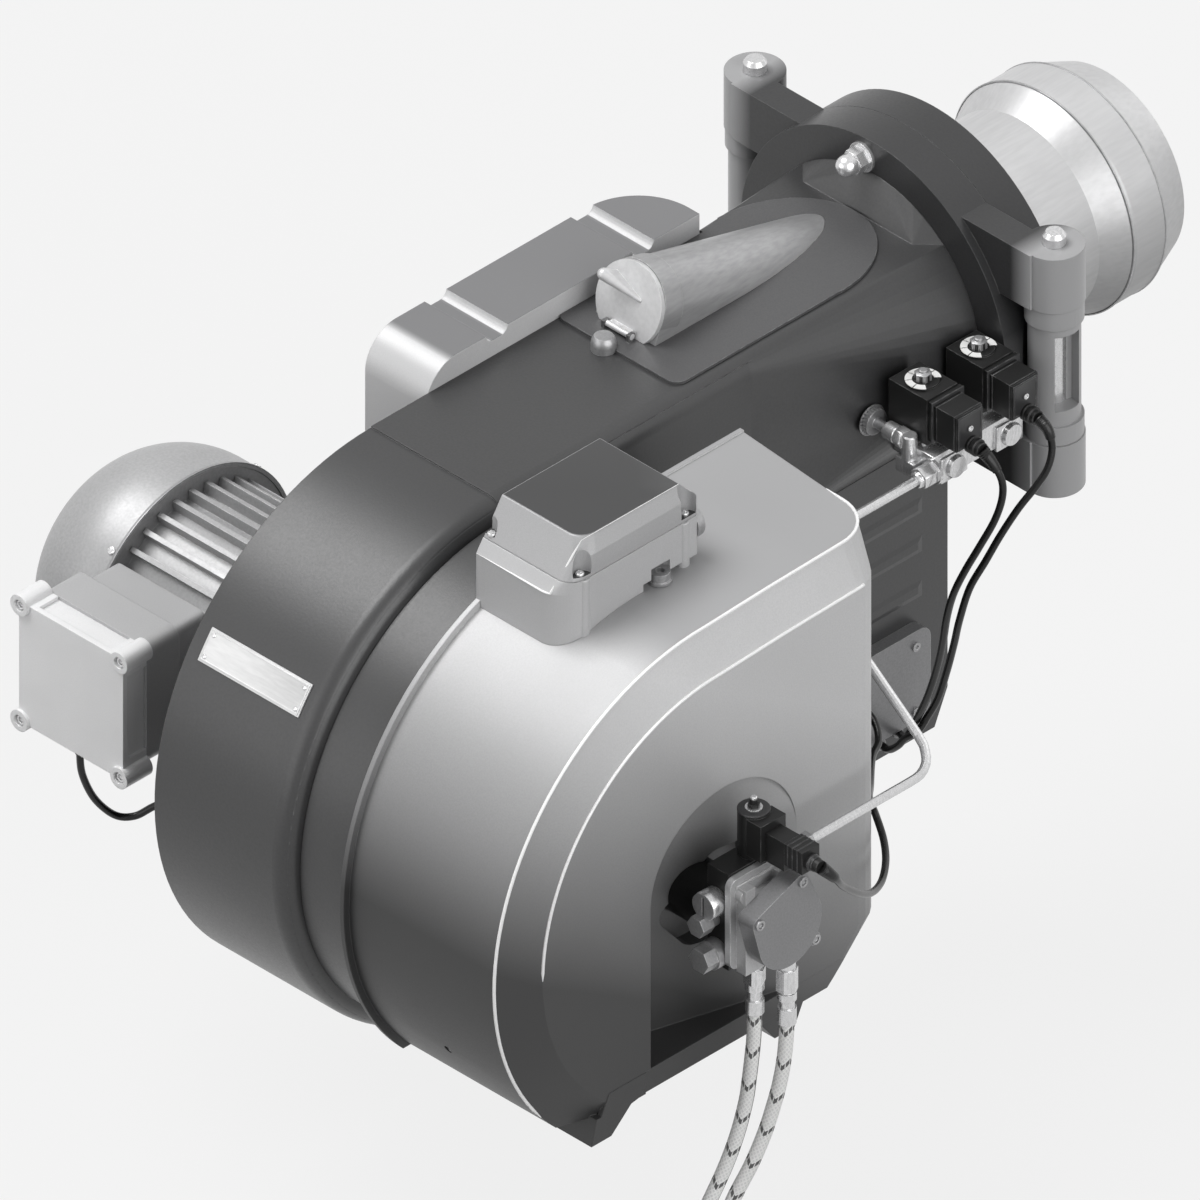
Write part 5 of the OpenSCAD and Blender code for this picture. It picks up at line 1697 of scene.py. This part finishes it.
@dataclass
class ValveTrim:
    """Dials, nuts, plugs, block, pins, caps and knob of the two oil valves.

    Attributes:
        rows: Places of the two valves (Y), mm.
        ports: Places of their ports in the block (Y), mm.
        centre: Place of the coils' axes (X), mm.
        needle: Axis of the shut-off needle (Y, Z), mm.
        union: Axis of the oil pipe's union (X, Z), mm.
        cap_z: Height of the blind caps, mm.
        leaves: Leaves of a dial.
    """

    rows: Pair = (-174.0, -103.0)
    ports: Pair = (-172.0, -101.0)
    centre: float = 158.5
    needle: Pair = (-201, -16)
    union: Pair = (193.4, -38.5)
    cap_z: float = -42.4
    leaves: int = 6

    def dials(self) -> None:
        """Makes the pale segmented dials on the coils."""
        parts = []
        plate = closed([(10.2, 35.0), (16.8, 35.0), (16.8, 35.7), (10.2, 35.7)])
        for y in self.rows:
            for k in range(self.leaves):
                leaf = lathe(Axis.Z, plate, (0, 0), 8, 42.0)
                turn = Matrix.Rotation(math.radians(46 * k + 95), 4, "Z")
                parts.append(place(leaf, shift(self.centre, y, 0) @ turn))
        hand_over(parts, "valve_dials", Body.HOUSING, DIAL_WHITE)

    def nuts(self) -> None:
        """Makes the bright hexagon nuts and stud ends on the coils."""
        parts = []
        tip = [(4.2, 43.0), (4.2, 45.0), (3.4, 45.8), (0, 45.8)]
        for y in self.rows:
            nut = rod(Axis.Z, 8.25, (35.2, 42.6), (self.centre, y), 6)
            pick(nut, lambda c, n: n.z > 0.9)
            bpy.ops.mesh.inset(thickness=1.0 * MM, depth=0.7 * MM)
            put_down()
            parts += [nut, lathe(Axis.Z, tip, (self.centre, y), 24)]
        hand_over(parts, "valve_nuts", Body.HOUSING, DULL_STEEL)

    def plugs(self) -> None:
        """Makes the frames, screws and glands of the plugs."""
        frames, screws, glands = [], [], []
        gland = [
            (0, 217), (8.4, 217), (8.4, 220.5), (7.2, 221.3), (7.2, 222.7),
            (8.6, 223.5), (8.6, 227.5), (6.6, 228.5), (6.6, 232.4), (0, 232.4),
        ]
        for y in self.rows:
            for x, ahead, behind, low, high in (
                (187.4, 18.6, 22.6, -12.4, 31.5),
                (191.2, 16.5, 17.5, -10.4, 28.4),
                (213.6, 16.5, 17.5, -10.4, 28.4),
            ):
                ring = block((x, y - ahead, low), (x + 1.3, y + behind, high))
                frames.append(soften(ring, 0.35))
            face = block((216.8, y - 15.0, -9.0), (218.4, y + 16.0, 27.0))
            sink(face, lambda c, n: n.x > 0.9, 2.2, 0.5)
            frames.append(soften(face, 0.4))
            screws += Screw(3.1, 1.8, 1.5).fit(Axis.X, [(217.9, y + 0.5, 10.0)])
            glands.append(lathe(Axis.X, gland, (y + 2, -8), 28))
        hand_over(frames, "valve_plug_frames", Body.HOUSING, GREY_PLASTIC)
        hand_over(screws, "valve_plug_screws", Body.HOUSING, BRIGHT_STEEL)
        hand_over(glands, "valve_plug_glands", Body.HOUSING, BLACK_PLASTIC)

    def knob(self) -> None:
        """Makes the knurled knob of the shut-off needle."""
        tooth = math.radians(7.5)

        def ridge(centre: Vector, normal: Vector) -> bool:
            """Chooses every other face of the rim."""
            side = round(math.atan2(normal.z, normal.y) / tooth - 0.5)
            return abs(normal.x) < 0.3 and side % 2 == 0

        wheel = rod(Axis.X, 12.6, (119, 126), self.needle, 48)
        pick(wheel, ridge)
        bpy.ops.mesh.inset(thickness=0.2 * MM, use_individual=True)
        bpy.ops.mesh.extrude_faces_move(TRANSFORM_OT_shrink_fatten={"value": 0.45 * MM})
        put_down()
        sink(wheel, lambda c, n: n.x < -0.9, 3.0, 1.2)
        shank = [(0, 125.5), (5.0, 125.5), (5.0, 138), (6.4, 139), (6.4, 149.9), (0, 149.9)]
        stem = lathe(Axis.X, shank, self.needle, 28)
        piece = hand_over([wheel, stem], "knurled_knob", Body.HOUSING, DULL_STEEL)
        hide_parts("valve_knob")

    def manifold(self) -> None:
        """Makes the valve block with its turrets, union and needle arm."""
        turret = [(0, -25), (15.5, -25), (15.5, -21.5), (14, -20.5), (14, -17.1), (0, -17.1)]
        barrel = [(0, 139), (7.0, 139), (8.8, 141), (8.8, 153), (7.4, 154.2), (7.4, 157), (0, 157)]
        collar = [(0, -219), (6.6, -219), (7.8, -217.5), (7.8, -214), (0, -214)]
        arm = [(0, -8), (6.4, -8), (7.4, -9), (7.4, -46), (0, -46)]
        parts = [soften(block((160, -196, -54), (194, -82, -24)), 2.2)]
        parts += [lathe(Axis.Z, turret, (160, y), 40) for y in self.rows]
        parts += [soften(block((192, y - 17, -56), (197, y + 17, -29)), 1.6) for y in self.ports]
        parts.append(soften(rod(Axis.Y, 11.0, (-215, -197), self.union, 6), 0.9))
        parts.append(lathe(Axis.Y, collar, self.union, 28))
        parts.append(lathe(Axis.Y, disc(12.6, -198.5, -195), self.union, 32))
        parts.append(lathe(Axis.X, barrel, self.needle, 32))
        parts.append(soften(rod(Axis.X, 10.4, (154.5, 163.5), self.needle, 6), 0.8))
        parts.append(lathe(Axis.Z, arm, (168, -201), 28))
        parts.append(soften(block((156, -208, -50), (180, -194, -33)), 2.0))
        piece = hand_over(parts, "valve_block", Body.HOUSING, BRIGHT_STEEL)
        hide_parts("valve_manifold")

    def pins_and_caps(self) -> None:
        """Makes the pins and blind caps of the valve block."""
        pin = [(0, -47), (2.6, -47), (3.4, -46), (3.4, -26), (3.4, -17.4), (0, -17.4)]
        cap = [(0, 193.5), (11.4, 193.5), (11.8, 196), (11.8, 199), (10.4, 201.6), (0, 202.2)]
        corners = ((-13, -12), (13, -12), (-13, 12))
        pins = [
            lathe(Axis.Z, pin, (self.centre + across, y + along), 16)
            for y in self.rows
            for across, along in corners
        ]
        hand_over(pins, "valve_pins", Body.HOUSING, BRIGHT_STEEL)
        caps = [lathe(Axis.X, cap, (y, self.cap_z), 40) for y in self.ports]
        hand_over(caps, "valve_caps", Body.HOUSING, BRIGHT_STEEL, 30)

    def build(self) -> None:
        """Makes the valves' small ware."""
        self.dials()
        self.nuts()
        self.plugs()
        self.knob()
        self.manifold()
        self.pins_and_caps()


def main() -> None:
    """Builds the burner's looks round its solids."""
    logging.basicConfig(level=logging.INFO, format="%(name)s: %(message)s")
    bpy.context.scene.view_settings.view_transform = "Standard"
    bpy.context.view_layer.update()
    studio = Studio()
    studio.camera()
    Hoses().build()
    Cables().build()
    dress_nodes()
    FlameTube().build()
    ScrollTrim().build()
    CowlTrim().build()
    ServoTrim().build()
    MotorTrim().build()
    PumpTrim().build()
    ValveTrim().build()
    studio.lamps()
    studio.background()
    studio.floor()


if __name__ == "__main__":
    main()
